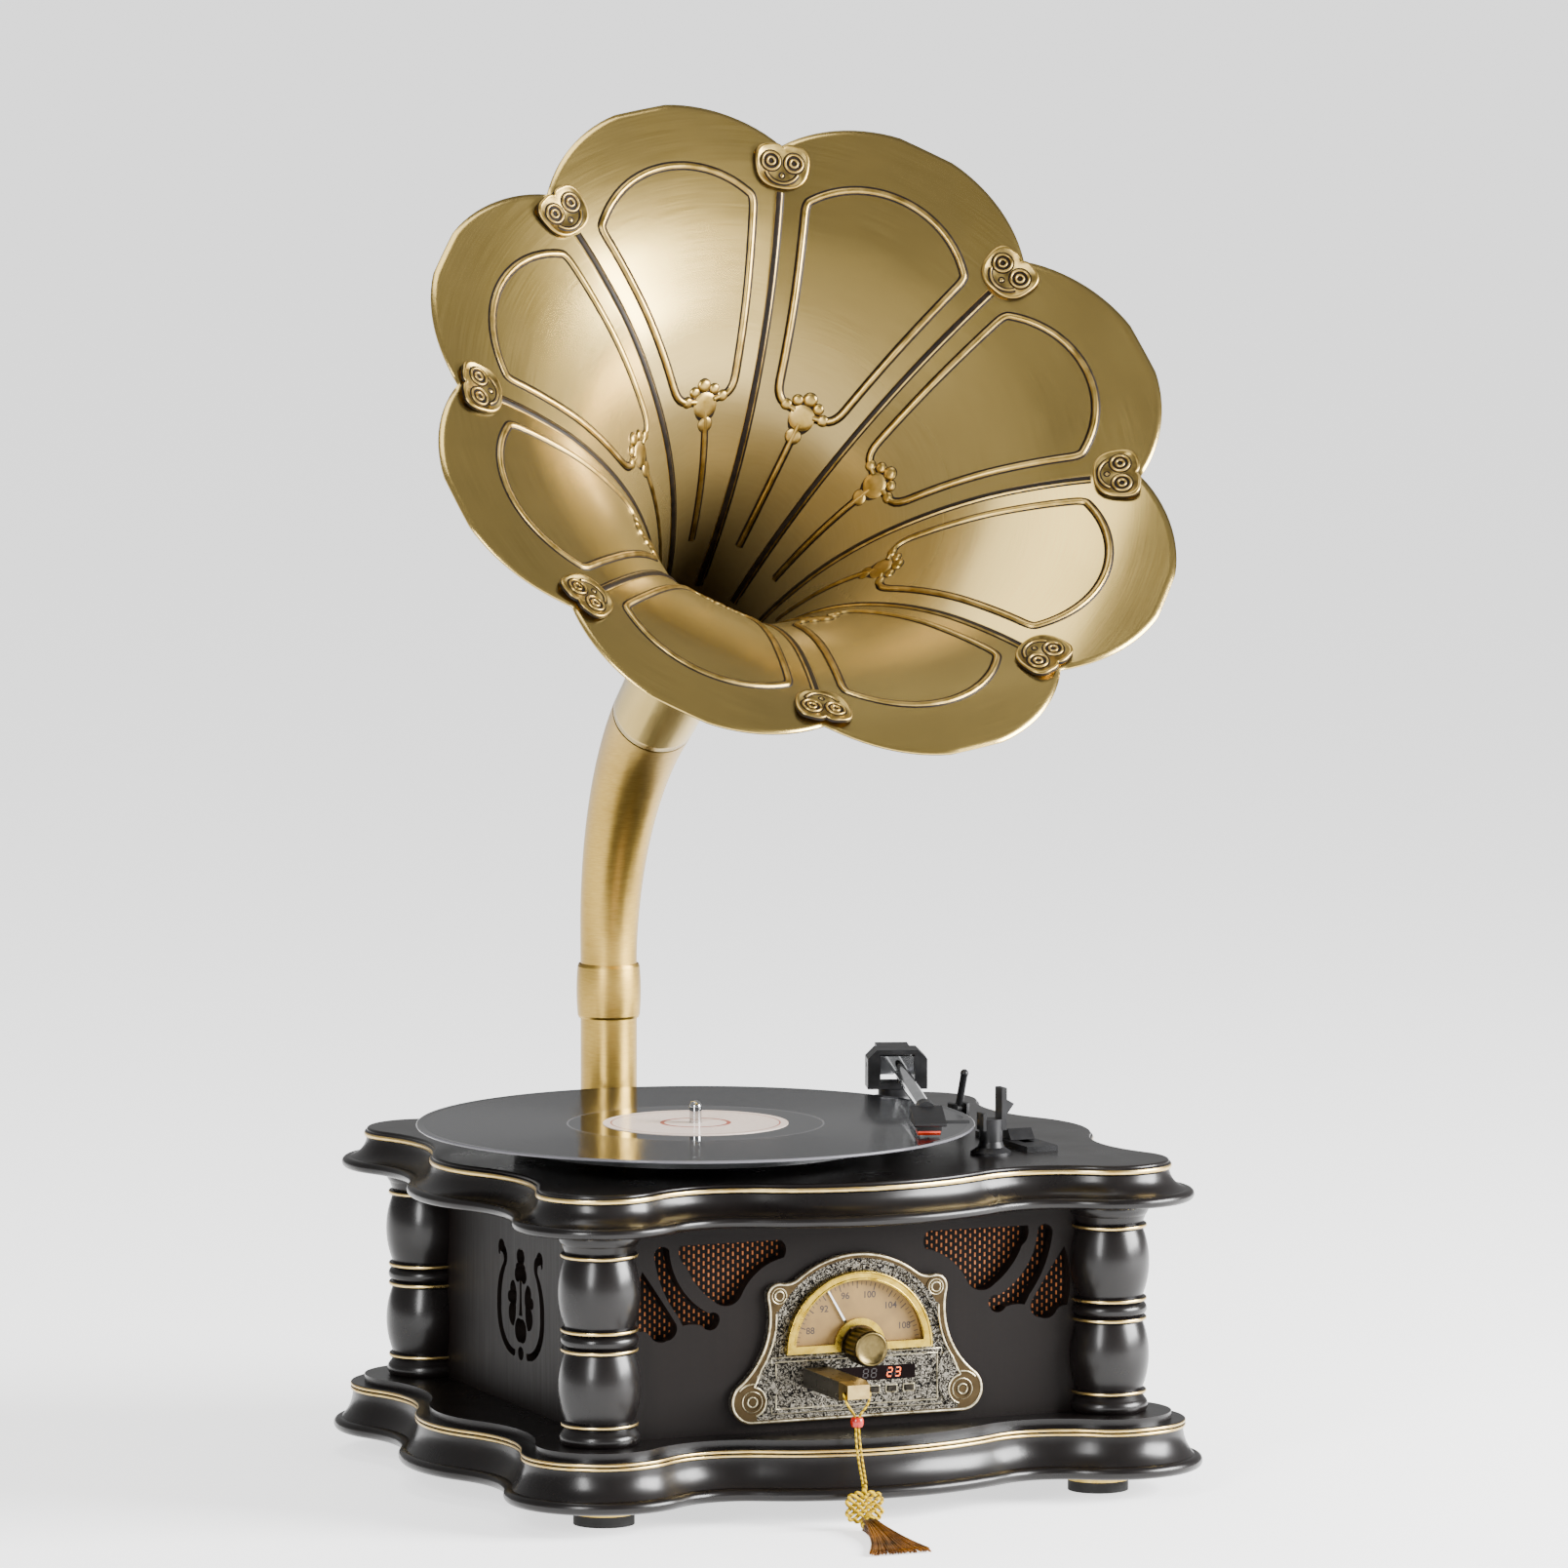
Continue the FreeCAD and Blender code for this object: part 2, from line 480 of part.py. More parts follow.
# Side panels: lyre fretwork
for side, sign in (("left", "0 - "), ("right", "")):
    panel = body(side + "_panel")
    outer = "box_x - panel" if sign == "" else "0 - box_x"
    sheet = sketch(panel, "YZ_Plane", outer)
    rectangle(sheet, "panel - box_y", "box_y - panel", "base_top", "deck_bottom")
    pad(panel, sheet, "panel")
    holes = sketch(panel, "YZ_Plane", outer)
    for table, both in ((LYRE_HORN, True), (LYRE_LEAF, True), (LYRE_CLUB, False), (LYRE_EGG, False),
                        (LYRE_DROP, False)):
        right = [tuple(n * v("lyre_tall") + v("lyre_z") if i % 2 else n * v("lyre_w") for i,
                       n in enumerate(p))
                 for p in table]
        draw(holes, right)
        if both:
            draw(holes, mirrored(right))
    pocket(panel, holes)
    node(panel, side + "_panel")

# Deck: gilt bead, hollow and half-round lip, with holes for everything that stands in it
low, lip = v("deck_bottom"), v("deck_lip")
lip_top = v("deck_bottom + deck_lip_h")
high = v("deck_top")
bead_high = v("deck_top - deck_edge")
bead_low = v("deck_top - deck_edge - deck_bead_h")
deck = moulded("deck", 0.0, "deck_bottom", "deck_top", 0.0, [
    (keep, low), (lip, low), (lip + lip_round, (low + lip_top) / 2, lip, lip_top), (lip - step_in, lip_top),
    (v("bead_out + 1.5 * cove_out"), lip_top + 0.4 * (bead_low - lip_top), inner_bead, bead_low),
    (swell, (bead_low + bead_high) / 2, inner_bead, bead_high),
    (0.7 * inner_bead, high - 0.3 * (high - bead_high), 0.0, high), (keep, high)])
hollow = sketch(deck, "XY_Plane", "deck_bottom")
rectangle(hollow, "panel + 1 - box_x", "box_x - panel - 1", "panel + 1 - box_y", "box_y - panel - 1")
pocket(deck, hollow, "deck_ceiling - deck_bottom", True)
holes = sketch(deck, "XY_Plane", "deck_bottom")
circle(holes, "bearing_r", "disc_x", "disc_y")
circle(holes, "pulley_r", "disc_x + pulley_x", "disc_y + pulley_y")
circle(holes, "yoke_shaft + 1", "arm_x", "arm_y")
pocket(deck, holes)
well = sketch(deck, "XY_Plane", "tube_low")
circle(well, "tube_r", "tube_x", "tube_y")
pocket(deck, well, "deck_top - tube_low", True)
node(deck, "deck")

# Grille cloth behind the front and side openings
cloths = []
for x0, x1 in (("0 - box_x + panel + 2", "0 - opening_x + 8"), ("opening_x - 8", "box_x - panel - 2")):
    cloths.append(box(x0, x1, "panel - box_y", "panel - box_y + cloth", "fan_z - 40", "deck_bottom - 2"))
for x0, x1 in (("panel - box_x", "panel - box_x + cloth"), ("box_x - panel - cloth", "box_x - panel")):
    wide = "lyre_w / 2 + cloth_margin"
    cloths.append(box(x0, x1, "0 - lyre_w / 2 - cloth_margin", wide, "lyre_z - cloth_margin",
                      "lyre_z + lyre_tall + cloth_margin"))
node(group(*cloths), "grille_cloth")

# Speakers: basket with magnet and a paper cone, facing forward behind the cloth
r, deep, rim = v("speaker_r"), v("speaker_deep"), v("flange_t")
basket_profile = [(r, -rim), (r, 0.0), (v("cone_r") + 1.5, 0.0), (v("cone_r") + 1.0, -rim),
                  (v("magnet_r") - 6, -14.0),
                  (v("magnet_r") - 6, v("magnet_t") - deep), (0.0, v("magnet_t") - deep), (0.0, -deep),
                  (v("magnet_r"), -deep), (v("magnet_r"), -14.0), (v("cone_r") + 3.0, -rim)]
cone_profile = [(v("cone_r + 1"), -0.2), (v("cone_r + 1"), -1.2), (10.0, -9.0), (0.0, -9.0), (0.0, -8.2),
                (9.6, -8.2)]
baskets = []
cones = []
for side in ("-", ""):
    for profile_now, bag in ((basket_profile, baskets), (cone_profile, cones)):
        one = turned("speaker_piece", profile_now)
        one.Placement = FreeCAD.Placement(V(v(side + "speaker_x"), v("panel + cloth - box_y"),
                                            v("speaker_z")), OUTWARD)
        bag.append(one)
node(group(*baskets), "speaker_baskets")
node(group(*cones), "speaker_cones")


def faceplate_outline(inward):
    """Dome over two ears, flared sides, two round lower bosses and a flat foot."""
    dome = V(0, v("dome_top - dome_r"), 0)
    dome_r = v("dome_r") - inward
    ear = V(v("ear_x"), v("ear_z"), 0)
    ear_r = v("ear_r") - inward
    boss = V(v("boss_x"), v("boss_z"), 0)
    boss_r = v("boss_r") - inward
    flare = v("side_flare") + inward
    knee = blend(boss, boss_r, ear, ear_r, flare, -1)
    nook = v("ear_blend") + inward
    crook = blend(ear, ear_r, dome, dome_r, nook, -1)
    foot = V(boss.x, boss.z, 0)
    foot.y = boss.y - boss_r
    touch = [boss + (knee - boss) * (boss_r / (boss_r + flare)),
             ear + (knee - ear) * (ear_r / (ear_r + flare)),
             ear + (crook - ear) * (ear_r / (ear_r + nook)),
             dome + (crook - dome) * (dome_r / (dome_r + nook))]

    def mid(centre, r, one, two, far=False):
        way = (one + two) * 0.5 - centre
        way = centre + way * ((-r if far else r) / way.Length)
        return way
    right = []
    m = mid(boss, boss_r, foot, touch[0])
    right.append((m.x, m.y, touch[0].x, touch[0].y))
    m = mid(knee, flare, touch[0], touch[1])
    right.append((m.x, m.y, touch[1].x, touch[1].y))
    m = mid(ear, ear_r, touch[1], touch[2])
    right.append((m.x, m.y, touch[2].x, touch[2].y))
    m = mid(crook, nook, touch[2], touch[3])
    right.append((m.x, m.y, touch[3].x, touch[3].y))
    points = [(foot.x, foot.y)] + right
    points.append((0.0, dome.y + dome_r, -touch[3].x, touch[3].y))
    for arc, end in zip(reversed(right), [touch[2], touch[1], touch[0], foot]):
        points.append((-arc[0], arc[1], -end.x, end.y))
    return points


# Faceplate: cast plate with a raised border, a sunk field and openings for the controls
plate = body("faceplate")
sheet = sketch(plate, "XZ_Plane", "box_y")
draw(sheet, faceplate_outline(0.0))
pad(plate, sheet, "plate_t")
sunk = sketch(plate, "XZ_Plane", "box_y + plate_t")
draw(sunk, [(v("boss_x") - 8.0, v("boss_z") - 8.0),
            (v("boss_x") - 14.0, v("boss_z") + 4.0, v("boss_x") - 8.0, 84.0),
            (v("ear_x") + 1.0, 100.0, v("ear_x") - 3.5, v("ear_z") - 8.5), (0.0, v("dome_top") - 4.0,
            3.5 - v("ear_x"), v("ear_z") - 8.5), (-v("ear_x") - 1.0, 100.0, 8.0 - v("boss_x"), 84.0),
            (14.0 - v("boss_x"), v("boss_z") + 4.0, 8.0 - v("boss_x"), v("boss_z") - 8.0)])
pocket(plate, sunk, "field_deep")
holes = sketch(plate, "XZ_Plane", "box_y + plate_t")
circle(holes, "shaft_r + run_gap", "0", "dial_z + 2")
rectangle(holes, "window_x - window_w / 2", "window_x + window_w / 2", "window_z - window_h / 2",
          "window_z + window_h / 2")
rectangle(holes, "usb_x - plug_w / 2 - free_gap", "usb_x + plug_w / 2 + free_gap",
          "usb_z - plug_h / 2 - free_gap",
          "usb_z + plug_h / 2 + free_gap")
for step in range(4):
    middle = "button_x + %d * button_pitch" % step
    rectangle(holes, middle + " - button_w / 2 - free_gap", middle + " + button_w / 2 + free_gap",
              "button_z - button_h / 2 - free_gap", "button_z + button_h / 2 + free_gap")
pocket(plate, holes)
ornament = sketch(plate, "XZ_Plane", "box_y + plate_t")
for x, z in (("ear_x", "ear_z"), ("boss_x", "boss_z")):
    for sign in ("", "0 - "):
        circle(ornament, "rosette_r", sign + x, z)
        circle(ornament, "rosette_in", sign + x, z)
pad(plate, ornament, "rosette_h")
subframe = sketch(plate, "XZ_Plane", "box_y + plate_t - field_deep")
for grow in ("0", "subframe_w"):
    rectangle(subframe, grow + " - subframe_x", "subframe_x - " + grow, "subframe_low + " + grow,
              "subframe_top - " + grow)
pad(plate, subframe, "subframe_h")
node(plate, "faceplate")

# Faceplate screws: one in each rosette
heads = []
for x, z in (("ear_x", "ear_z"), ("boss_x", "boss_z")):
    for sign in ("", "0 - "):
        head = body("screw_head")
        face = sketch(head, "XZ_Plane", "box_y + plate_t")
        circle(face, "screw_r", sign + x, z)
        pad(head, face, "screw_h")
        heads.append(head)
node(group(*heads), "faceplate_screws")

# Dial card: cream half disc with a round clearance for the knob shaft
card = body("dial_card")
face = sketch(card, "XZ_Plane", "box_y + plate_t - field_deep")
inner = v("dial_r - 1")
hole_r = v("shaft_r + 1")
hole_x = math.sqrt(hole_r ** 2 - 4)
draw(face, [(inner, v("dial_z")), (0.0, v("dial_z") + inner, -inner, v("dial_z")), (-hole_x, v("dial_z")),
            (0.0, v("dial_z + 2") + hole_r, hole_x, v("dial_z"))])
pad(card, face, "dial_card_t")
node(card, "dial_card")

# Dial frame: half ring with a foot bar and a round hub over the pointer's root
frame = body("dial_frame")
face = sketch(frame, "XZ_Plane", "box_y + plate_t - field_deep + dial_card_t")
outer, inner = v("dial_r"), v("dial_r - dial_frame")
foot_low, foot_high = v("dial_z - 1"), v("dial_z + 3")
hub = v("hub_r")
hub_z = v("dial_z + 2")
hole_x = math.sqrt(v("hub_inner") ** 2 - (hub_z - foot_low) ** 2)
draw(face, [(outer, foot_low), (outer, v("dial_z")), (0.0, v("dial_z") + outer, -outer, v("dial_z")),
            (-outer, foot_low), (-hole_x, foot_low), (0.0, hub_z + v("hub_inner"), hole_x, foot_low)])
edge_x = math.sqrt(hub ** 2 - (foot_high - hub_z) ** 2)
rise = math.sqrt(inner ** 2 - (foot_high - v("dial_z")) ** 2)
draw(face, [(rise, foot_high), (0.0, v("dial_z") + inner, -rise, foot_high),
            (-edge_x, foot_high), (0.0, hub_z + hub, edge_x, foot_high)])
pad(frame, face, "dial_frame_t")
under = sketch(frame, "XZ_Plane", "box_y + plate_t - field_deep + dial_card_t")
slim = v("dial_r - dial_frame + 1")
draw(under, [(slim - 1.5, foot_high + 0.01), (0.0, v("dial_z") + slim, 1.5 - slim, foot_high + 0.01)])
pocket(frame, under, "dial_frame_t - 2", True)
node(frame, "dial_frame")

# Display window
window = body("display_window")
face = sketch(window, "XZ_Plane", "box_y + plate_t - field_deep - window_t")
rectangle(face, "window_x - window_w / 2", "window_x + window_w / 2", "window_z - window_h / 2",
          "window_z + window_h / 2")
pad(window, face, "window_t")
node(window, "display_window")

# Tuning knob with its shaft, and the pointer on the same shaft
knob_r, knob_len = v("knob_r"), v("knob_len")
front_z = v("plate_t - field_deep + dial_card_t + dial_frame_t + knob_gap")
knob = turned("tuning_knob", [
    (0.0, -10.0), (v("shaft_r"), -10.0), (v("shaft_r"), front_z), (knob_r, front_z),
    (knob_r, front_z + knob_len - 1.5),
    (knob_r - 0.5, front_z + knob_len - 0.5, knob_r - 1.5, front_z + knob_len), (0.0, front_z + knob_len)])
groove = sketch(knob, "XY_Plane", "plate_t - field_deep + dial_card_t + dial_frame_t + knob_gap + knob_len")
circle(groove, "flute_r", "knob_r")
flute = pocket(knob, groove, "knob_len - flute_margin")
fluting = knob.newObject("PartDesign::PolarPattern", "fluting")
fluting.Originals = [flute]
fluting.Axis = ([f for f in knob.Origin.OriginFeatures if f.Role == "Z_Axis"][0], [""])
fluting.Angle = 360
bind(fluting, "Occurrences", "flutes")
knob.Tip = fluting
node(knob, "tuning_knob", "0", "0 - box_y", "dial_z + 2", OUTWARD)
needle = body("dial_pointer")
face = sketch(needle, "XY_Plane", "plate_t - field_deep + dial_card_t + pointer_gap")
half_w = v("pointer_w / 2")
way = V(-math.sin(math.radians(v("pointer_angle"))), math.cos(math.radians(v("pointer_angle"))), 0)
side = V(way.y, -way.x, 0)
corners = [way * v("pointer_hub - 1") + side * half_w, way * v("pointer_len") + side * half_w * 0.6,
           way * v("pointer_len") - side * half_w * 0.6, way * v("pointer_hub - 1") - side * half_w]
draw(face, [(c.x, c.y) for c in corners])
pad(needle, face, "pointer_t")
disc_face = sketch(needle, "XY_Plane", "plate_t - field_deep + dial_card_t + pointer_gap")
circle(disc_face, "pointer_hub")
circle(disc_face, "shaft_r")
pad(needle, disc_face, "pointer_t")
node(needle, "dial_pointer", "0", "0 - box_y", "dial_z + 2", OUTWARD)

# Push buttons
for step in range(4):
    middle = "button_x + %d * button_pitch" % step
    key = box("0 - button_w / 2", "button_w / 2", "0 - plate_t + field_deep - button_out", "button_in",
              "0 - button_h / 2", "button_h / 2")
    node(group(key), "button_%d" % (step + 1), middle, "0 - box_y", "button_z")

# Control board and the USB socket on it
node(group(box("0 - board_w / 2", "board_w / 2", "0", "board_t", "0", "board_h")), "control_board",
     "0", "0 - board_y", "board_z")
shell = box("0 - plug_w / 2 - free_gap - socket_wall", "plug_w / 2 + free_gap + socket_wall",
            "0 - box_y + 0.4", "0 - board_y",
            "0 - plug_h / 2 - free_gap - socket_wall", "plug_h / 2 + free_gap + socket_wall")
cavity = box("0 - plug_w / 2 - free_gap", "plug_w / 2 + free_gap", "0 - box_y", "0 - box_y + plug_len + 2",
             "0 - plug_h / 2 - free_gap", "plug_h / 2 + free_gap")
node(cut(shell, cavity), "usb_socket", "usb_x", "0", "usb_z")

# USB stick: plug, body and a narrowed end cap with an eye for the lanyard
plug = box("0 - plug_w / 2", "plug_w / 2", "0 - plate_t", "plug_len - plate_t", "0 - plug_h / 2",
           "plug_h / 2")
grip = box("0 - usb_w / 2", "usb_w / 2", "0 - plate_t - usb_len - free_gap", "0 - plate_t - free_gap",
           "0 - usb_h / 2",
           "usb_h / 2")
near_y, far_y = v("0 - plate_t - usb_len - free_gap"), v("0 - plate_t - usb_len - free_gap - usb_cap")
wide, slim, tall = v("usb_w / 2"), v("usb_cap_w / 2"), v("usb_h / 2")
near = Part.makePolygon([V(-wide, near_y, -tall), V(wide, near_y, -tall), V(wide, near_y, tall),
                         V(-wide, near_y, tall), V(-wide, near_y, -tall)])
far = Part.makePolygon([V(-slim, far_y, -tall + 1.5), V(slim, far_y, -tall + 1.5), V(slim, far_y, tall - 1),
                        V(-slim, far_y, tall - 1), V(-slim, far_y, -tall + 1.5)])
cap = shaped(Part.makeLoft([near, far], True, True))
eye = rod("eye_r", V(-v("usb_w"), far_y + 3.0, -1.0), V(v("usb_w"), far_y + 3.0, -1.0))
node(cut(fuse(plug, grip, cap), eye), "usb_stick", "usb_x", "0 - box_y", "usb_z")

# Lanyard: two strands from the eye to the bead, then side by side over the lip to the knot
eye_y = v("0 - box_y") + far_y + 3.0
eye_z = v("usb_z") - 1.0
usb_x = v("usb_x")
bead_y, bead_z = v("bead_y"), v("bead_z")
knot_y, knot_z = v("knot_y"), v("knot_z")
spread = v("usb_w / 2 - 0.2")
RADII = []


def strand(points, r):
    """Tube of straight runs joined by arcs tangent to both."""
    start = points[0]
    edges = []
    for before, bend, after in zip(points, points[1:], points[2:]):
        a, b = before - bend, after - bend
        half_turn = (math.pi - a.getAngle(b)) / 2
        reach = 0.45 * min(a.Length, b.Length)
        RADII.append(round(reach / math.tan(half_turn), 1))
        one, two = bend + a / a.Length * reach, bend + b / b.Length * reach
        inner = a / a.Length + b / b.Length
        centre = bend + inner / inner.Length * (RADII[-1] / math.cos(half_turn))
        middle = bend - centre
        middle = centre + middle / middle.Length * RADII[-1]
        edges.append(Part.LineSegment(start, one).toShape())
        edges.append(Part.Arc(one, middle, two).toShape())
        start = two
    edges.append(Part.LineSegment(start, points[-1]).toShape())
    spine = Part.Wire(edges)
    way = points[1] - points[0]
    ring = Part.Wire(Part.makeCircle(r, points[0], way))
    return spine.makePipeShell([ring], True, False)


strands = []
for sign in (-1, 1):
    route = [V(sign * spread, eye_y, eye_z + 0.6), V(sign * (spread - 0.6), eye_y - 2.2, eye_z - 4.5),
             V(sign * 0.9, bead_y - 0.2, bead_z + v("bead_r")), V(sign * 0.8, bead_y, bead_z - v("bead_r")),
             V(sign * 1.2, bead_y - 2.2, bead_z - 15.5),
             V(sign * 0.9, knot_y, knot_z + v("knot_size / 2 + free_gap"))]
    strands.append(shaped(strand(route, v("cord_r"))))
node(group(*strands), "lanyard_cord", "usb_x")
bead = doc.addObject("Part::Sphere", "ball")
bind(bead, "Radius", "bead_r")
bore = cylinder("cord_r * 3.5", "0 - 2 * bead_r", "2 * bead_r")
node(cut(bead, bore), "bead", "usb_x", "bead_y", "bead_z")
half_knot = v("knot_size / 2")
knot_wire = path([(0.5 * half_knot, -0.62 * half_knot, half_knot, 0.0),
                  (0.62 * half_knot, 0.5 * half_knot, 0.0, half_knot),
                  (-0.62 * half_knot, 0.5 * half_knot, -half_knot, 0.0),
                  (-0.5 * half_knot, -0.62 * half_knot, 0.0, -half_knot)])
knot = shaped(Part.Face(knot_wire).extrude(V(0, 0, v("knot_t"))))
node(knot, "knot", "usb_x", "knot_y + knot_t / 2", "knot_z", OUTWARD)
top_r, spread_w, long = v("tassel_top_r"), v("tassel_w / 2"), v("tassel_len")
root = Part.Wire(Part.makeCircle(top_r, V(0, 0, top_r + 0.6), V(0, -1, 0)))
sections = [root]
for share, wide, tall in ((0.3, 0.45, 5.0), (1.0, 1.0, 2.6)):
    drift = v("tassel_drift") * share ** 1.5
    oval = Part.Ellipse(V(drift, -long * share, tall / 2 + 0.4), spread_w * wide, tall / 2)
    oval = Part.Wire(oval.toShape())
    oval.rotate(V(drift, -long * share, tall / 2 + 0.4), V(1, 0, 0), 90)
    sections.append(oval)
node(shaped(Part.makeLoft(sections, True, False)), "tassel", "usb_x", "knot_y - knot_t / 2 - free_gap", "0")

# Platter: hub, web, belt ring and rim
p_low, p_high = v("platter_bottom"), v("platter_top")
web_low = v("platter_top - web_t")
ring_r = v("belt_ring_r")
hub_bore = v("spindle_r + run_gap")
platter = turned("platter", [
    (hub_bore, p_low), (v("hub_out"), p_low), (v("hub_out"), web_low), (ring_r - v("belt_ring_t"), web_low),
    (ring_r - v("belt_ring_t"), p_low), (ring_r, p_low), (ring_r, web_low), (v("platter_r - rim_t"), web_low),
    (v("platter_r - rim_t"), p_low), (v("platter_r"), p_low), (v("platter_r"), p_high), (hub_bore, p_high)])
node(platter, "platter", "disc_x", "disc_y")
mat_top = p_high + v("mat_t")
mat = turned("slip_mat", [(hub_bore, p_high), (v("mat_r"), p_high), (v("mat_r"), mat_top),
                          (hub_bore, mat_top)])
node(mat, "slip_mat", "disc_x", "disc_y")

# Record: raised edge, groove band, run-out band and label
disc_top = mat_top + v("disc_t")
edge = v("disc_edge")
hole_r = v("pin_root + run_gap")
record = turned("record", [
    (hole_r, mat_top), (v("disc_r") - 1.0, mat_top),
    (v("disc_r"), mat_top + 0.8, v("disc_r") - 1.0, disc_top),
    (v("disc_r") - 4.0, disc_top - edge), (v("dead_r"), disc_top - edge), (v("label_r"), disc_top - edge),
    (v("label_r"), disc_top), (hole_r, disc_top)])
node(record, "record", "disc_x", "disc_y")

# Spindle with a round-topped pin, in a flanged bearing housing
pin_top = v("pin_top")
dome = v("pin_r") * math.sqrt(0.5)
spindle = turned("spindle", [
    (0.0, v("spindle_low")), (v("spindle_r"), v("spindle_low")), (v("spindle_r"), mat_top),
    (v("pin_root"), mat_top),
    (v("pin_root"), disc_top), (v("pin_r"), disc_top), (v("pin_r"), pin_top - v("pin_r")),
    (dome, pin_top - v("pin_r") + dome, 0.0, pin_top)])
node(spindle, "spindle", "disc_x", "disc_y")
bore_r = v("spindle_r + run_gap")
housing = turned("bearing_housing", [
    (bore_r, v("bearing_low + 1")), (bore_r, v("deck_top + bearing_flange_t")),
    (v("bearing_flange"), v("deck_top + bearing_flange_t")), (v("bearing_flange"), v("deck_top")),
    (v("bearing_r"), v("deck_top")), (v("bearing_r"), v("bearing_low")), (0.0, v("bearing_low")),
    (0.0, v("bearing_low + 1"))])
node(housing, "bearing_housing", "disc_x", "disc_y")

# Motor, its pulley on the shaft, and the flat belt round pulley and platter ring
motor = cylinder("motor_r", "deck_ceiling - motor_h", "deck_ceiling")
bore = cylinder("motor_shaft + run_gap", "deck_ceiling - 8", "deck_ceiling + 1")
node(cut(motor, bore), "motor", "disc_x + pulley_x", "disc_y + pulley_y")
pulley = turned("motor_pulley", [
    (0.0, v("deck_ceiling - 7.5")), (v("motor_shaft"), v("deck_ceiling - 7.5")),
    (v("motor_shaft"), p_low - 0.4),
    (v("pulley_r"), p_low - 0.4), (v("pulley_r"), web_low - 0.4), (0.0, web_low - 0.4)])
node(pulley, "motor_pulley", "disc_x + pulley_x", "disc_y + pulley_y")
centre = V(v("pulley_x"), v("pulley_y"), 0)


def loop(gap):
    """Belt line at a gap outside the platter ring and the pulley."""
    big, small = v("belt_ring_r") + gap, v("pulley_r") + gap
    lean = math.acos((big - small) / centre.Length)
    heading = math.atan2(centre.y, centre.x)

    def on(middle, r, angle):
        return V(middle.x + r * math.cos(heading + angle), middle.y + r * math.sin(heading + angle), 0)
    a, b = on(V(0, 0, 0), big, lean), on(V(0, 0, 0), big, -lean)
    c, d = on(centre, small, -lean), on(centre, small, lean)
    far_side, nose = on(V(0, 0, 0), big, math.pi), on(centre, small, 0)
    return path([(far_side.x, far_side.y, b.x, b.y), (c.x, c.y), (nose.x, nose.y, d.x, d.y), (a.x, a.y)])


width = V(0, 0, v("belt_w"))
belt_outer = Part.Face(loop(v("free_gap + belt_t"))).extrude(width)
belt_inner = Part.Face(loop(v("free_gap"))).extrude(width)
band = belt_outer.cut(belt_inner)
node(shaped(band), "drive_belt", "disc_x", "disc_y", "platter_bottom + 0.5")

# Tonearm, built along its own X axis from the pivot
ARM = FreeCAD.Rotation(V(0, 0, 1), v("arm_angle"))
arm_z, arm_r = v("arm_z"), v("arm_r")
base_r, base_neck, base_top = v("arm_base_r"), v("arm_base_neck"), v("arm_base_top")
shaft_bore = v("yoke_shaft + run_gap")
arm_base = turned("arm_base", [
    (shaft_bore, v("deck_top")), (base_r, v("deck_top")), (base_r, v("deck_top + 3")),
    (base_neck + 1.5, v("deck_top + 6"),
     base_neck, v("deck_top + 11")), (base_neck, base_top), (shaft_bore, base_top)])
node(arm_base, "arm_base", "arm_x", "arm_y")

# Yoke: chamfered block with a slot for the arm, turning on a shaft in the base
yoke = body("arm_yoke")
face = sketch(yoke, "YZ_Plane", "0 - yoke_len / 2")
half_yoke, y_top, chamfer = v("yoke_w / 2"), v("yoke_top"), v("yoke_chamfer")
y_low = v("arm_base_top + free_gap")
draw(face, [(half_yoke, y_low), (half_yoke, y_top - chamfer), (half_yoke - chamfer, y_top),
            (chamfer - half_yoke, y_top),
            (-half_yoke, y_top - chamfer), (-half_yoke, y_low)])
pad(yoke, face, "yoke_len")
slot = sketch(yoke, "YZ_Plane", "yoke_len / 2")
rectangle(slot, "yoke_cheek - yoke_w / 2", "yoke_w / 2 - yoke_cheek", "arm_base_top + free_gap + yoke_floor",
          "yoke_top - 2.5")
pocket(yoke, slot)
eye_line = sketch(yoke, "XZ_Plane")
circle(eye_line, "pivot_pin + run_gap", "0", "arm_z")
pocket(yoke, eye_line)
stem = sketch(yoke, "XY_Plane", "arm_base_top + free_gap")
circle(stem, "yoke_shaft")
pad(yoke, stem, "14", True)
node(yoke, "arm_yoke", "arm_x", "arm_y", "0", ARM)

# Arm tube with its pivot block and pivot pin
inner_w = v("yoke_w / 2 - yoke_cheek - free_gap")
tube = rod("arm_r", V(-v("block_len / 2 + weight_gap + weight_len + yoke_len / 2 - block_len / 2"), 0, arm_z),
           V(v("arm_len - 16"), 0, arm_z))
block = shaped(Part.makeBox(v("block_len"), 2 * inner_w, v("block_h"),
                            V(-v("block_len / 2"), -inner_w, arm_z - v("block_h / 2"))))
pin = rod("pivot_pin", V(0, -half_yoke + 1.0, arm_z), V(0, half_yoke - 1.0, arm_z))
node(fuse(tube, block, pin), "arm_tube", "arm_x", "arm_y", "0", ARM)

# Counterweight: square block on the tail of the arm
tail = -v("yoke_len / 2 + weight_gap")
weight = shaped(Part.makeBox(v("weight_len"), v("weight_w"), v("weight_h"),
                             V(tail - v("weight_len"), -v("weight_w / 2"), arm_z - v("weight_h / 2"))))
bore = rod("arm_r + run_gap", V(tail - v("weight_len") - 1, 0, arm_z), V(tail + 1, 0, arm_z))
node(cut(weight, bore), "counterweight", "arm_x", "arm_y", "0", ARM)

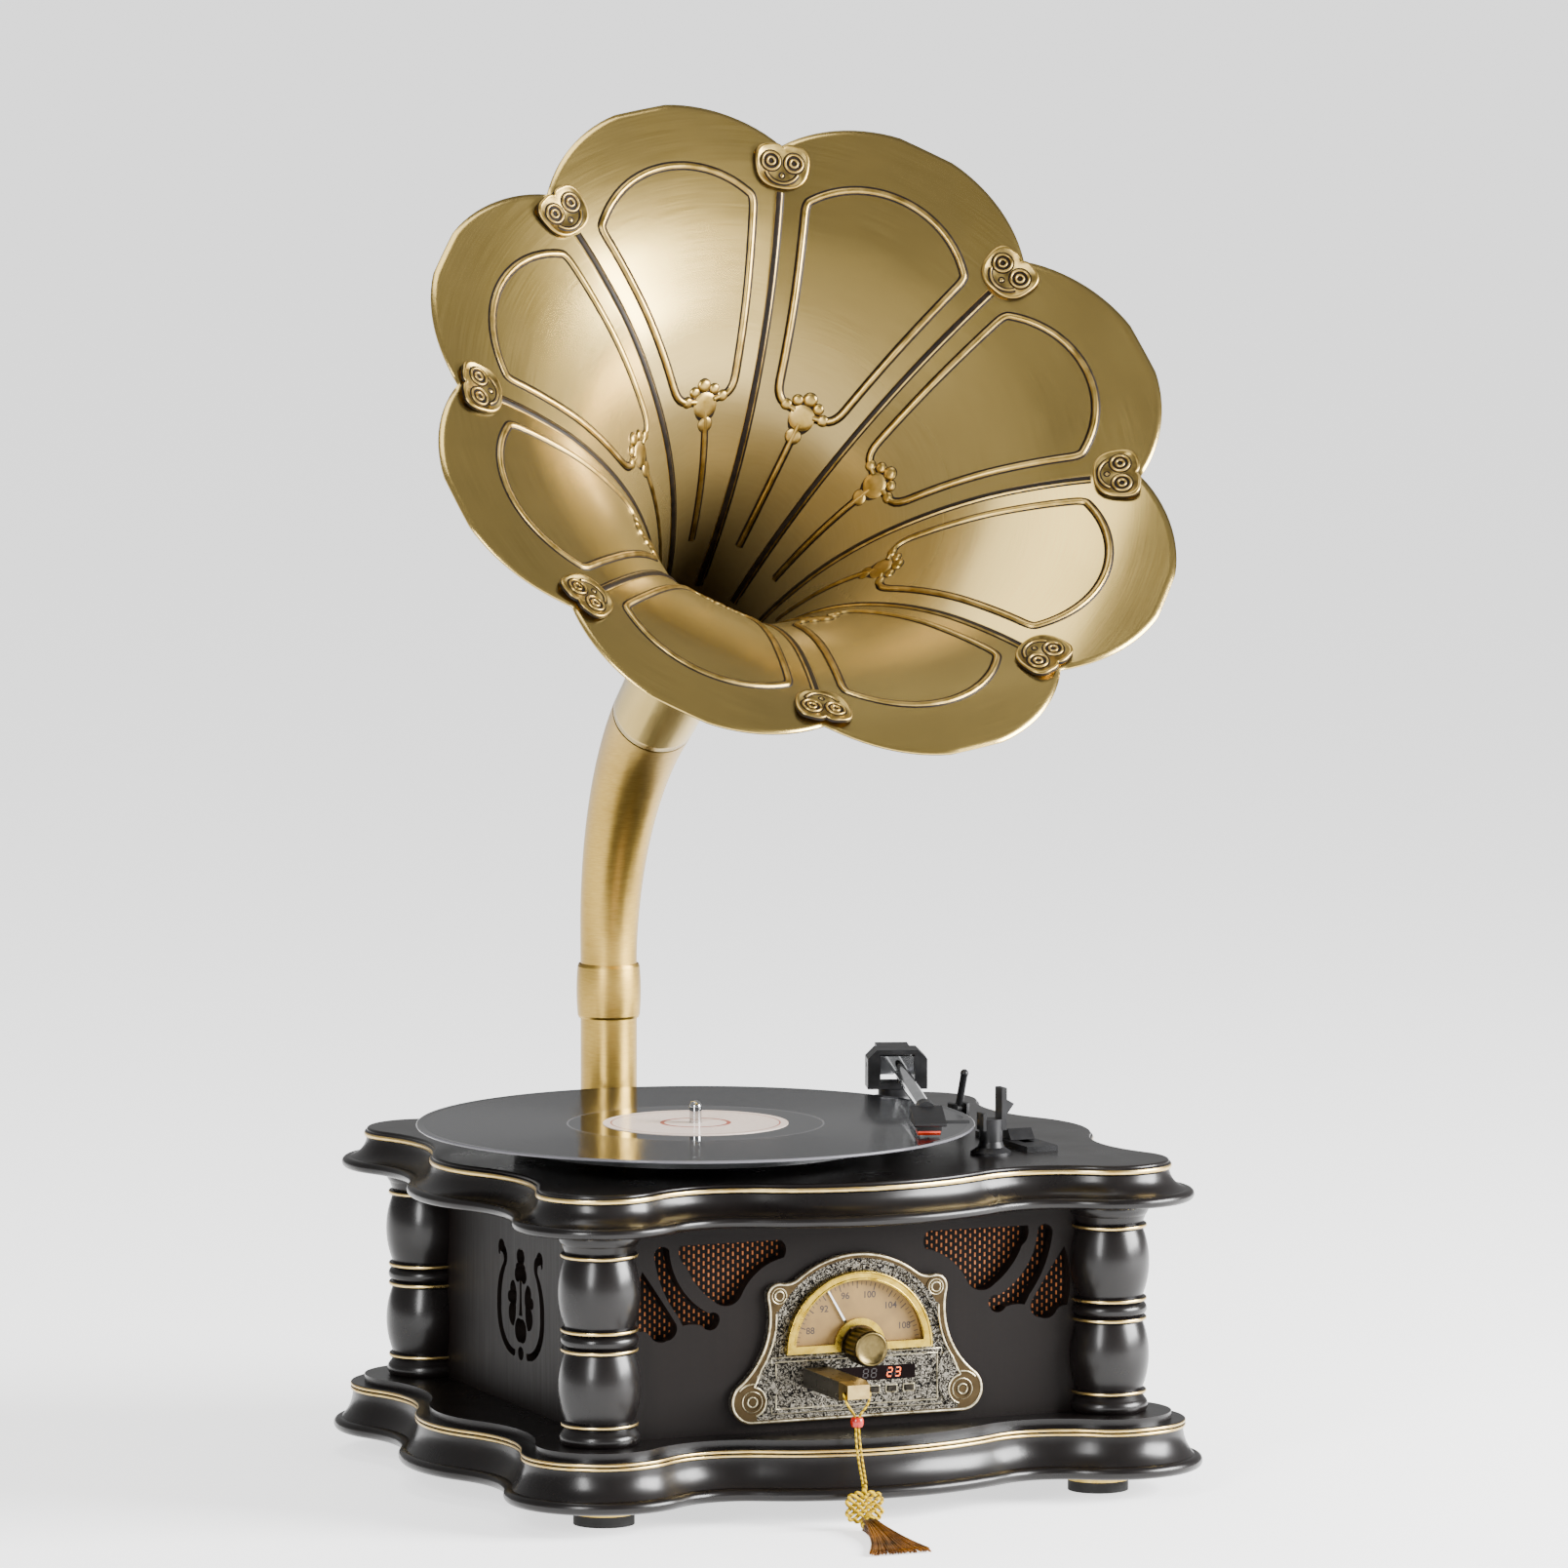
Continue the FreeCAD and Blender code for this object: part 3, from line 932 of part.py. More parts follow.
# Headshell: socket, sloping plate and finger lift
tip = v("arm_len")
shell_w, shell_t = v("shell_w"), v("shell_t")
sock = rod("arm_r + 1.2", V(tip - 26, 0, arm_z), V(tip - 12, 0, arm_z))
bore = rod("arm_r + run_gap", V(tip - 27, 0, arm_z), V(tip - 15.9, 0, arm_z))
plate_low = arm_z - v("arm_r") - 1.0
side_line = [V(tip - 14, 0, arm_z + 3), V(tip - 14, 0, plate_low), V(tip + 12, 0, plate_low),
             V(tip + 16, 0, plate_low + 1.0), V(tip + 16, 0, plate_low + 2.2),
             V(tip + 12, 0, plate_low + shell_t)]
wedge = Part.Face(Part.makePolygon(side_line + side_line[:1])).extrude(V(0, shell_w, 0))
wedge.translate(V(0, -shell_w / 2, 0))
lift = Part.makeBox(5.0, v("lift_len"), v("lift_t"), V(tip + 3, shell_w / 2 - 1, plate_low + 1.0))
node(cut(fuse(sock, shaped(wedge), shaped(lift)), bore), "headshell", "arm_x", "arm_y", "0", ARM)

# Cartridge under the headshell, and the stylus with its coloured guard
cart_low = disc_top + v("free_gap + stylus_h")
cart = Part.makeBox(v("cart_len"), v("cart_w"), plate_low - cart_low, V(tip - 9, -v("cart_w / 2"), cart_low))
node(shaped(cart), "cartridge", "arm_x", "arm_y", "0", ARM)
guard_low = cart_low - v("guard_h")
guard_line = [V(tip - 8, 0, cart_low), V(tip - 8, 0, guard_low + 1.0), V(tip - 3, 0, guard_low),
              V(tip + 6, 0, guard_low),
              V(tip + 8, 0, guard_low + 1.4), V(tip + 8, 0, cart_low)]
guard = Part.Face(Part.makePolygon(guard_line + guard_line[:1])).extrude(V(0, v("cart_w") - 1, 0))
guard.translate(V(0, 0.5 - v("cart_w / 2"), 0))
tip_low = cart_low - v("stylus_h")
needle_tip = Part.makeCone(0.25, 0.9, guard_low - tip_low + 0.2, V(tip, 0, tip_low), V(0, 0, 1))
node(fuse(shaped(guard), shaped(needle_tip)), "stylus", "arm_x", "arm_y", "0", ARM)

# Arm rest: post with a saddle, a low inner prong and a tall outer prong with a thumb tab
post = turned("rest_post", [
    (0.0, v("deck_top")), (v("rest_flange"), v("deck_top")), (v("rest_flange"), v("deck_top + 1.5")),
    (v("rest_r") + 1.0, v("deck_top + rest_flange_t")), (v("rest_r"), v("deck_top + rest_flange_t + 3")),
    (v("rest_r"), v("rest_saddle")), (0.0, v("rest_saddle"))])
side_out = v("rest_r")
prong = Part.makeBox(v("rest_prong"), 9.0, v("rest_tall - rest_saddle + 6"),
                     V(side_out - v("rest_prong") + 1.2, -4.5, v("rest_saddle") - 6))
tab_line = [V(side_out + 1.2, 0, v("rest_tall") - 6), V(side_out + 6.5, 0, v("rest_tall") - 9),
            V(side_out + 1.2, 0, v("rest_tall") - 16)]
tab = Part.Face(Part.makePolygon(tab_line + tab_line[:1])).extrude(V(0, 5.0, 0))
tab.translate(V(-0.2, -2.5, 0))
low_prong = Part.makeBox(2.0, 9.0, v("rest_low - rest_saddle + 6"), V(-side_out, -4.5, v("rest_saddle") - 6))
node(fuse(post, shaped(prong), shaped(tab), shaped(low_prong)), "arm_rest", "rest_x", "rest_y")

# Cue post with a slot, and the cue lever hinged in it
post = cylinder("cue_post_r", "deck_top", "deck_top + cue_post_h")
slot = box("0 - cue_slot / 2", "cue_slot / 2", "0 - cue_post_r * 2", "cue_post_r * 2", "deck_top + 2",
           "deck_top + cue_post_h + 1")
axle = rod("pivot_pin", V(-v("cue_post_r"), 0, v("deck_top + cue_post_h - 3")),
           V(v("cue_post_r"), 0, v("deck_top + cue_post_h - 3")))
node(fuse(cut(post, slot), axle), "cue_post", "cue_x", "cue_y")
hinge = v("deck_top + cue_post_h - 3")
lean = math.radians(v("cue_lean"))
out = V(0, -math.sin(lean), math.cos(lean))
eye_ring = rod("cue_r + 1", V(-v("cue_slot / 2 - free_gap"), 0, hinge),
               V(v("cue_slot / 2 - free_gap"), 0, hinge))
stick = rod("cue_r", V(0, 0, hinge) + out * 1.5, V(0, 0, hinge) + out * v("cue_len"))
ball = shaped(Part.makeSphere(v("cue_r + 0.3"), V(0, 0, hinge) + out * v("cue_len")))
hole = rod("pivot_pin + run_gap", V(-6, 0, hinge), V(6, 0, hinge))
node(cut(fuse(eye_ring, stick, ball), hole), "cue_lever", "cue_x", "cue_y")

# Speed selector: low plate with a slot and a sliding block
slab = box("0 - speed_w / 2", "speed_w / 2", "0 - speed_len / 2", "speed_len / 2", "0", "speed_t")
gap = box("0 - slider_neck / 2", "slider_neck / 2", "0 - speed_slot / 2", "speed_slot / 2", "0 - 1",
          "speed_t + 1")
node(cut(slab, gap), "speed_plate", "speed_x", "speed_y", "deck_top")
s_len, s_h, s_w = v("slider_len"), v("slider_h"), v("speed_w") - 4
s_low = v("speed_t + free_gap")
line = [V(0, -s_len / 2, s_low), V(0, s_len / 2, s_low), V(0, s_len / 2 - 3, s_h - 2),
        V(0, -s_len / 2 + 5, s_h)]
knob_block = Part.Face(Part.makePolygon(line + line[:1])).extrude(V(s_w, 0, 0))
knob_block.translate(V(-s_w / 2, 0, 0))
neck_block = Part.makeBox(v("slider_neck - 2 * free_gap"), v("slider_neck"), s_low,
                          V(-v("slider_neck / 2 - free_gap"), -v("slider_neck / 2"), v("free_gap")))
node(fuse(shaped(knob_block), shaped(neck_block)), "speed_slider", "speed_x", "speed_y", "deck_top")

# Horn: lower tube in the deck, collar over the joint, bent neck
tube = cylinder("tube_r", "tube_low", "tube_top")
bore = cylinder("tube_r - tube_wall", "tube_low - 1", "tube_top + 1")
node(cut(tube, bore), "lower_tube", "tube_x", "tube_y")
c_low, c_high, c_r = v("collar_low"), v("collar_top"), v("collar_r")
c_in = v("tube_r + run_gap")
step_z = v("neck_start - free_gap")
seat = v("tube_r + free_gap")
collar = turned("collar", [
    (c_in, c_low), (c_r - 0.6, c_low), (c_r, c_low + 1.5),
    (c_r + 0.6, (c_low + c_high) / 2, c_r, c_high - 1.5),
    (c_r - 0.6, c_high), (seat, c_high), (seat, step_z), (c_in, step_z)])
node(collar, "collar", "tube_x", "tube_y")
turn = math.radians(v("neck_turn"))
axis = V(0, -math.sin(turn), math.cos(turn))
up_side = V(0, math.cos(turn), math.sin(turn))
right_side = V(1, 0, 0)
mouth = V(0, -v("mouth_out"), v("mouth_z"))
meet_z = mouth.z - mouth.y * axis.z / axis.y
tangent = v("neck_bend") * math.tan(turn / 2)
bend_low = meet_z - tangent


def neck_place(share):
    """Point and heading along the neck, from the collar to the spout."""
    angle = turn * share
    r = v("neck_bend")
    place = V(0, -r * (1 - math.cos(angle)), bend_low + r * math.sin(angle))
    return place, V(0, -math.sin(angle), math.cos(angle))


neck_end = mouth - axis * v("spout_back")


def neck_skin(inset):
    rings = []
    for level in (0.0, 0.3, 0.6, 0.85):
        foot = V(0, 0, v("neck_start") + (bend_low - v("neck_start")) * level)
        rings.append(Part.Wire(Part.makeCircle(v("tube_r") - inset, foot, V(0, 0, 1))))
    for share in (0.0, 0.125, 0.25, 0.375, 0.5, 0.625, 0.75, 0.875):
        place, heading = neck_place(share)
        grown = v("tube_r") + v("spout_r - tube_r") * share ** 1.3
        rings.append(Part.Wire(Part.makeCircle(grown - inset, place, heading)))
    rings.append(Part.Wire(Part.makeCircle(v("spout_r") - inset, neck_end, axis)))
    return Part.makeLoft(rings, True, False)


neck = neck_skin(0.0).cut(neck_skin(v("neck_wall")))
node(shaped(neck), "neck", "tube_x", "tube_y")

# Bell: eight petals lofted along the horn axis and trimmed to a scalloped rim
SEAM = [(-0.9993, 0.108), (-0.7963, 0.1174), (-0.6667, 0.1362), (-0.537, 0.1784), (-0.4074, 0.2441),
        (-0.2963, 0.3286), (-0.2, 0.4319), (-0.1222, 0.5446), (-0.0667, 0.6573), (-0.0259, 0.7653),
        (0.0074, 0.892), (0.0296, 1.0516)]
SEAM = [(s * v("spout_back"), r * v("tip_r")) for s, r in SEAM]
petals = int(v("petals"))
phase = math.radians(v("bell_phase"))
flat_share = [0.0, 0.05, 0.15, 0.35, 0.5, 0.6, 0.65, 0.7, 0.7, 0.7, 0.7, 0.7]


def on_axis(s, r, angle):
    return mouth + axis * s + right_side * (r * math.cos(angle)) + up_side * (r * math.sin(angle))


def bell_skin(inset):
    wires = []
    for n, (s, r) in enumerate(SEAM):
        before = SEAM[max(n - 1, 0)]
        after = SEAM[min(n + 1, len(SEAM) - 1)]
        slope = math.atan2(after[1] - before[1], after[0] - before[0])
        s_now, r_now = s + inset * math.sin(slope), r - inset * math.cos(slope)
        if n == 0:
            s_now = s - inset
        chord = math.cos(math.pi / petals)
        middle_r = r_now * (1 - flat_share[n] * (1 - chord))
        edges = []
        for k in range(petals):
            a0 = phase - (k + 1) * 2 * math.pi / petals
            a1 = a0 + 2 * math.pi / petals
            edges.append(Part.Arc(on_axis(s_now, r_now, a0), on_axis(s_now, middle_r, (a0 + a1) / 2),
                                  on_axis(s_now, r_now, a1)).toShape())
        wires.append(Part.Wire(Part.__sortEdges__(edges)))
    return Part.makeLoft(wires, True, False)


def rim_prism():
    back = -v("spout_back + tube_r")
    edges = []
    for k in range(petals):
        a0 = phase - (k + 1) * 2 * math.pi / petals
        a1 = a0 + 2 * math.pi / petals
        edges.append(Part.Arc(on_axis(back, v("notch_r"), a0), on_axis(back, v("tip_r"), (a0 + a1) / 2),
                              on_axis(back, v("notch_r"), a1)).toShape())
    return Part.Face(Part.Wire(Part.__sortEdges__(edges))).extrude(axis * -1.5 * back)


bell = bell_skin(0.0).cut(bell_skin(v("bell_wall"))).common(rim_prism())
node(shaped(bell), "bell", "tube_x", "tube_y")

# Petal trim: on each petal a panel outline, a bud of five knobs and a stem, and a rib along each seam
tall = V(0, 0, v("spout_back"))
to_horn = FreeCAD.Placement(FreeCAD.Matrix(
    right_side.x, up_side.x, axis.x, 0, right_side.y, up_side.y, axis.y, 0,
    right_side.z, up_side.z, axis.z, 0, 0, 0, 0, 1))
to_horn.Base = on_axis(-0.9 * v("spout_back"), 0, 0)


def polar(r, degrees):
    return r * math.cos(math.radians(degrees)), r * math.sin(math.radians(degrees))


def strip(start, end, width):
    """Straight bar along the radius, ready to be cut from the trim's skin."""
    return Part.makeBox(end - start, width, tall.z, V(start, -width / 2, 0))


skin = bell_skin(v("bell_wall + trim_gap")).cut(bell_skin(v("bell_wall + trim_gap + trim_h")))
corner_x, corner_y = polar(v("panel_corner"), v("panel_slim"))
shoulder_x, shoulder_y = polar(v("panel_shoulder"), v("panel_wide"))
outline = path([(corner_x, corner_y), (corner_x, -corner_y), (shoulder_x, -shoulder_y),
                (v("panel_top"), 0.0, shoulder_x, shoulder_y)])
outline = outline.makeOffset2D(-v("trim_round")).makeOffset2D(v("trim_round"))
panel_band = Part.Face(outline).cut(Part.Face(outline.makeOffset2D(-v("trim_w")))).extrude(tall)
for share, forward, knob_share in ((-1.0, 0.0, 0.8), (-0.5, 1.0, 1.0), (0.0, 2.0, 1.5), (0.5, 1.0, 1.0),
                                   (1.0, 0.0, 0.8)):
    centre = V(corner_x + forward * v("trim_w"), share * 0.7 * corner_y, 0)
    panel_band = panel_band.fuse(Part.makeCylinder(knob_share * v("trim_w"), tall.z, centre))
panel_band = panel_band.fuse(strip(v("stem_end"), v("panel_corner"), v("trim_w")))
seam_bar = strip(v("seam_end"), v("seam_top"), v("trim_w"))
trims = []
for k in range(petals):
    for bar, off in ((panel_band, 0.5), (seam_bar, 0.0)):
        one = bar.copy()
        one.rotate(V(0, 0, 0), V(0, 0, 1), v("bell_phase") - (k + off) * 360 / petals)
        one.Placement = to_horn.multiply(one.Placement)
        trims.append(shaped(skin.common(one)))
node(group(*trims), "petal_trim", "tube_x", "tube_y")

# Throat grille: disc with a ring of round holes
back_s = -v("grille_back")
disc = Part.makeCylinder(v("grille_r"), v("grille_t"), on_axis(back_s, 0, 0), axis)
for count, ring_at in ((1, 0.0), (6, 0.4), (12, 0.78)):
    for k in range(count):
        angle = 2 * math.pi * k / count
        where = on_axis(back_s - 1, ring_at * v("grille_r"), angle)
        disc = disc.cut(Part.makeCylinder(v("grille_hole"), v("grille_t") + 2, where, axis))
node(shaped(disc), "throat_grille", "tube_x", "tube_y")

# Medallions: one heart-shaped plate over each seam near the rim
half_w, tall = v("medal_w / 2"), v("medal_h / 2")
heart = path([(half_w * 0.66, -tall * 0.68, half_w * 0.95, -tall * 0.02),
              (half_w * 0.9, tall * 0.66, half_w * 0.45, tall * 0.9),
              (half_w * 0.2, tall * 0.92, 0.0, tall * 0.8),
              (-half_w * 0.2, tall * 0.92, -half_w * 0.45, tall * 0.9),
              (-half_w * 0.9, tall * 0.66, -half_w * 0.95, -tall * 0.02),
              (-half_w * 0.66, -tall * 0.68, 0.0, -tall * 0.96)])
medal_plate = Part.Face(heart).extrude(V(0, 0, v("medal_t")))
medals = []
lean = math.radians(v("medal_lean"))
for k in range(petals):
    angle = phase - k * 2 * math.pi / petals
    radial = right_side * math.cos(angle) + up_side * math.sin(angle)
    across = axis.cross(radial)
    normal = axis * math.cos(lean) - radial * math.sin(lean)
    outward = radial * math.cos(lean) + axis * math.sin(lean)
    spot = on_axis(-1.0, v("medal_r"), angle) + normal * v("medal_lift")
    turned_frame = FreeCAD.Matrix(-across.x, outward.x, normal.x, spot.x,
                                  -across.y, outward.y, normal.y, spot.y,
                                  -across.z, outward.z, normal.z, spot.z, 0, 0, 0, 1)
    medals.append(shaped(medal_plate.copy()))
    medals[-1].Placement = FreeCAD.Placement(turned_frame)
node(group(*medals), "medallions", "tube_x", "tube_y")

# Transformer on the base floor
core = box("0 - trafo_w / 2", "trafo_w / 2", "0 - trafo_d / 2 + coil_out", "trafo_d / 2 - coil_out", "0",
           "trafo_h")
coil = box("coil_out - trafo_w / 2", "trafo_w / 2 - coil_out", "0 - trafo_d / 2", "trafo_d / 2", "coil_out",
           "trafo_h - coil_out")
node(fuse(core, coil), "transformer", "trafo_x", "trafo_y", "base_floor")

# Rear sockets: power inlet and two line sockets in the back panel
inlet = box("inlet_x - inlet_w / 2", "inlet_x + inlet_w / 2", "box_y - rear_deep", "box_y + rear_out",
            "rear_z - inlet_h / 2", "rear_z + inlet_h / 2")
mouth_cut = box("inlet_x - inlet_w / 2 + 3", "inlet_x + inlet_w / 2 - 3", "box_y - rear_deep + 3",
                "box_y + rear_out + 1",
                "rear_z - inlet_h / 2 + 3", "rear_z + inlet_h / 2 - 3")
sockets = [cut(inlet, mouth_cut)]
for step in (0, 1):
    x = v("line_x + %d * line_pitch" % step)
    jack = rod("line_r", V(x, v("box_y - rear_deep"), v("rear_z")),
               V(x, v("box_y + rear_out + 4"), v("rear_z")))
    bore = rod("line_r - 2", V(x, v("box_y - rear_deep + 4"), v("rear_z")),
               V(x, v("box_y + rear_out + 5"), v("rear_z")))
    sockets.append(cut(jack, bore))
node(group(*sockets), "rear_sockets")

doc.recompute()
failed = [t for t in doc.Objects if "Invalid" in t.State or "Error" in t.State]
for thing in failed:
    owner = thing.getParentGeoFeatureGroup()
    print("not built:", thing.Label, "in", owner.Label if owner else "no body", thing.getStatusString())
if failed:
    raise SystemExit("%d features not built" % len(failed))
whole = FreeCAD.BoundBox()
wrong = []
for thing in NODES:
    if thing.Shape.isNull() or not thing.Shape.isValid():
        wrong.append(thing.Label)
        continue
    if thing.Label not in ("lanyard_cord", "bead", "knot", "tassel"):
        whole.add(thing.Shape.BoundBox)
    thing.Shape.exportStep(os.path.join("parts", thing.Label + ".step"))
if wrong:
    raise SystemExit("shapes not valid: " + ", ".join(wrong))
print("lanyard bend radii mm", RADII)
print("parts", len(NODES), "box", whole, "centre", whole.Center)
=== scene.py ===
import math
import random

import bpy
from mathutils import Matrix, Vector


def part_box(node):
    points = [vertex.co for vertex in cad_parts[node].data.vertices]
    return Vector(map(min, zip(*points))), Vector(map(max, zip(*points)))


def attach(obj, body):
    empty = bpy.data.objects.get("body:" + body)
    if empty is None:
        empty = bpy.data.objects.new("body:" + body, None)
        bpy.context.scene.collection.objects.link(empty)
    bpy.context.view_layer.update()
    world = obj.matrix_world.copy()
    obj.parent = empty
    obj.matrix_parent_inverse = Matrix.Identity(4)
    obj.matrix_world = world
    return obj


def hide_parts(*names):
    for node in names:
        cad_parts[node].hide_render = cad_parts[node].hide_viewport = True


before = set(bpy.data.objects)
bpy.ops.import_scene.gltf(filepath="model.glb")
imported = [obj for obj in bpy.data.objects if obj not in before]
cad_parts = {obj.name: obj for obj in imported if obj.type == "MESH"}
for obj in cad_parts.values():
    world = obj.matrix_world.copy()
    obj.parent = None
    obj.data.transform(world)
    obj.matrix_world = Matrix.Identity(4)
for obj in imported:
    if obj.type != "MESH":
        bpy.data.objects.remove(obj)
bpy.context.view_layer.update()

# Feet: moulded rubber pads under spun brass rings, one of each screwed below each corner of the base.
# The rubber is matt and a little dusty; the rings are plated to a soft satin.
feet_low, feet_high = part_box("foot_pads")
home = (feet_low + feet_high) / 2


def at(x, y, z):
    """Point in the shared frame, from millimetres off the middle of the case."""
    return Vector((home.x + x / 1000, home.y + y / 1000, z / 1000))


def tint(code):
    """Linear colour of an sRGB hex value."""
    parts = [int(code[n:n + 2], 16) / 255 for n in (1, 3, 5)]
    return tuple(c / 12.92 if c <= 0.04045 else ((c + 0.055) / 1.055) ** 2.4 for c in parts) + (1.0,)


def feed(mat, node, inputs):
    """Link the sockets among the inputs, named or in order, and set the rest as colours or values."""
    for name, value in inputs.items() if isinstance(inputs, dict) else enumerate(inputs):
        if isinstance(value, bpy.types.NodeSocket):
            mat.node_tree.links.new(value, node.inputs[name])
        else:
            node.inputs[name].default_value = tint(value) if isinstance(value, str) else value


def add(mat, kind, inputs, out=0, **settings):
    """Add a shader node, its operation named after its kind, and give one of its outputs."""
    kind, *operation = kind.split()
    node = mat.node_tree.nodes.new("ShaderNode" + kind)
    if operation:
        node.operation = operation[0]
    for name, value in settings.items():
        setattr(node, name, value)
    feed(mat, node, inputs)
    return node.outputs[out]


def shade(mat, inputs):
    """Give inputs to the shader of a material."""
    feed(mat, mat.node_tree.nodes["Principled BSDF"], inputs)


def finish(name, **inputs):
    """New material whose shader takes these inputs, and the place on its object for patterns."""
    mat = bpy.data.materials.new(name)
    mat.use_nodes = True
    shade(mat, {key.replace("_", " ").title(): value for key, value in inputs.items()})
    return mat, add(mat, "TexCoord", {}, "Object")


def plain(name, dark, light, blotch_mm, grain_mm, rough, bump_mm, **inputs):
    """Finish whose tint and gloss wander over blotches, with a fine grain in relief."""
    mat, where = finish(name, **inputs)
    blotch = add(mat, "TexNoise", {"Vector": where, "Scale": 1000 / blotch_mm, "Detail": 5.0})
    grain = add(mat, "TexNoise", {"Vector": where, "Scale": 1000 / grain_mm, "Detail": 3.0})
    share = add(mat, "MapRange", [blotch, 0.3, 0.7])
    colour = add(mat, "MixRGB", [share, dark, light])
    gloss = add(mat, "MapRange", [blotch, 0.3, 0.7, *rough])
    relief = add(mat, "Bump", {"Height": grain, "Strength": 0.5, "Distance": bump_mm / 1000})
    shade(mat, {"Base Color": colour, "Roughness": gloss, "Normal": relief})
    return mat


def dress(mat, *nodes):
    """Give CAD nodes a finish."""
    for name in nodes:
        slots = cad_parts[name].data.materials
        slots.clear()
        slots.append(mat)


rubber = plain("moulded_rubber", "#121212", "#1F1E1D", 9, 0.5, (0.65, 0.85), 0.03)
dress(rubber, "foot_pads", "slip_mat", "drive_belt")
gilt = plain("satin_gilt_brass", "#B08F3E", "#D8BC6A", 6, 0.3, (0.24, 0.36), 0.004, metallic=1.0)
dress(gilt, "foot_rings")

# Base: one moulded board of hardwood, hollowed from above, lacquered black and rubbed to a gloss.
# Two gilt lines are painted on the beads of its edge, a little uneven as a brush leaves them.


def lacquer(name, *bands):
    """Black polish with gilt bands, each the height of its middle and half its width in millimetres."""
    mat, where = finish(name, coat_weight=0.1, coat_roughness=0.15)
    height = add(mat, "SeparateXYZ", [where], "Z")
    haze = add(mat, "TexNoise", {"Vector": where, "Scale": 1000 / 30, "Detail": 4.0})
    brush = add(mat, "TexNoise", {"Vector": where, "Scale": 1000 / 7, "Detail": 2.0})
    sway = add(mat, "MapRange", [brush, 0, 1, -0.00025, 0.00025])
    level = add(mat, "Math ADD", [height, sway])
    lines = 0.0
    for middle, half in bands:
        line = add(mat, "Math COMPARE", [level, middle / 1000, half / 1000])
        lines = add(mat, "Math MAXIMUM", [lines, line])
    black = add(mat, "MixRGB", [haze, "#060505", "#120E0D"])
    gold = add(mat, "MixRGB", [brush, "#B98F3C", "#F2DC9C"])
    colour = add(mat, "MixRGB", [lines, black, gold])
    polish = add(mat, "MapRange", [haze, 0, 1, 0.22, 0.36])
    shade(mat, {"Base Color": colour, "Roughness": polish, "Metallic": lines, "Specular IOR Level": 0.3})
    return mat


dress(lacquer("rubbed_black_lacquer_base", (36.1, 0.8), (38.4, 0.75)), "base_plate")

# Columns: four turned posts of the same wood between base and deck, notched over the box corners.
# Each has four turned beads that carry a gilt line.
column_lines = [(height, 0.75) for height in (54.4, 94.0, 104.5, 144.2)]
dress(lacquer("rubbed_black_lacquer_columns", *column_lines), "columns_front", "columns_back")

# Box panels: veneered boards between the columns, sawn out for the speakers and with a lyre each side.
# The veneer is stained brown-black and sealed to a satin, so that the upright grain just shows.
fibre_wide, fibre_long = 1.6, 40
stain, where = finish("satin_ebonised_veneer")
upright = (1000 / fibre_wide, 1000 / fibre_wide, 1000 / fibre_long)
along = add(stain, "Mapping", {"Vector": where, "Scale": upright})
grain = add(stain, "TexNoise", {"Vector": along, "Scale": 1.0, "Detail": 6.0})
cloud = add(stain, "TexNoise", {"Vector": where, "Scale": 1000 / 60, "Detail": 2.0})
fibre = add(stain, "MixRGB", [grain, "#0A0706", "#150F0C"])
tone = add(stain, "MixRGB", [cloud, fibre, "#0E0B0A"])
sheen = add(stain, "MapRange", [grain, 0, 1, 0.38, 0.58])
pores = add(stain, "Bump", {"Height": grain, "Strength": 0.35, "Distance": 0.00008})
shade(stain, {"Base Color": tone, "Roughness": sheen, "Normal": pores, "Specular IOR Level": 0.1})
dress(stain, "front_panel", "back_panel", "left_panel", "right_panel")

# Grille cloth: an open weave of black yarn with copper-coloured flat threads, glued behind the openings.
# The copper shows as upright dashes, staggered from column to column, one to every 3 by 4 mm.
yarn_mm, pick_mm, dash_half = 2.8, 4.2, (0.16, 0.26)
cloth, where = finish("woven_speaker_cloth", roughness=0.75)
parts = add(cloth, "SeparateXYZ", [where]).node.outputs
across = add(cloth, "Math ADD", [parts["X"], parts["Y"]])
column = add(cloth, "Math MULTIPLY", [across, 1000 / yarn_mm])
number = add(cloth, "Math FLOOR", [column])
rise = add(cloth, "Math MULTIPLY", [parts["Z"], 1000 / pick_mm])
step = add(cloth, "Math MULTIPLY_ADD", [number, 0.5, rise])
dash = 1.0
for count, half in zip((column, step), dash_half):
    inside = add(cloth, "Math FRACT", [count])
    band = add(cloth, "Math COMPARE", [inside, 0.5, half])
    dash = add(cloth, "Math MULTIPLY", [dash, band])
patch = add(cloth, "TexNoise", {"Vector": where, "Scale": 1000 / 3, "Detail": 2.0})
copper = add(cloth, "MixRGB", [patch, "#3A1808", "#B87042"])
yarn = add(cloth, "MixRGB", [patch, "#040302", "#0D0806"])
weave = add(cloth, "MixRGB", [dash, yarn, copper])
threads = add(cloth, "Bump", {"Height": dash, "Strength": 0.8, "Distance": 0.0004})
shade(cloth, {"Base Color": weave, "Normal": threads, "Specular IOR Level": 0.1})
dress(cloth, "grille_cloth")

# Speakers, transformer, motor and board: bought-in parts screwed inside the box, seen only through gaps.
# Pressed and zinc-plated steel, moulded black paper cones and green laminate.
steel = plain("zinc_plated_steel", "#7C7E80", "#A6A8A9", 12, 0.6, (0.3, 0.45), 0.01, metallic=1.0)
dress(steel, "speaker_baskets", "bearing_housing", "motor", "motor_pulley", "transformer", "usb_socket")
dress(plain("pressed_cone_paper", "#161514", "#22201F", 8, 0.4, (0.8, 0.95), 0.05), "speaker_cones")
dress(plain("green_glass_laminate", "#123D22", "#1E5732", 10, 0.5, (0.4, 0.55), 0.01), "control_board")

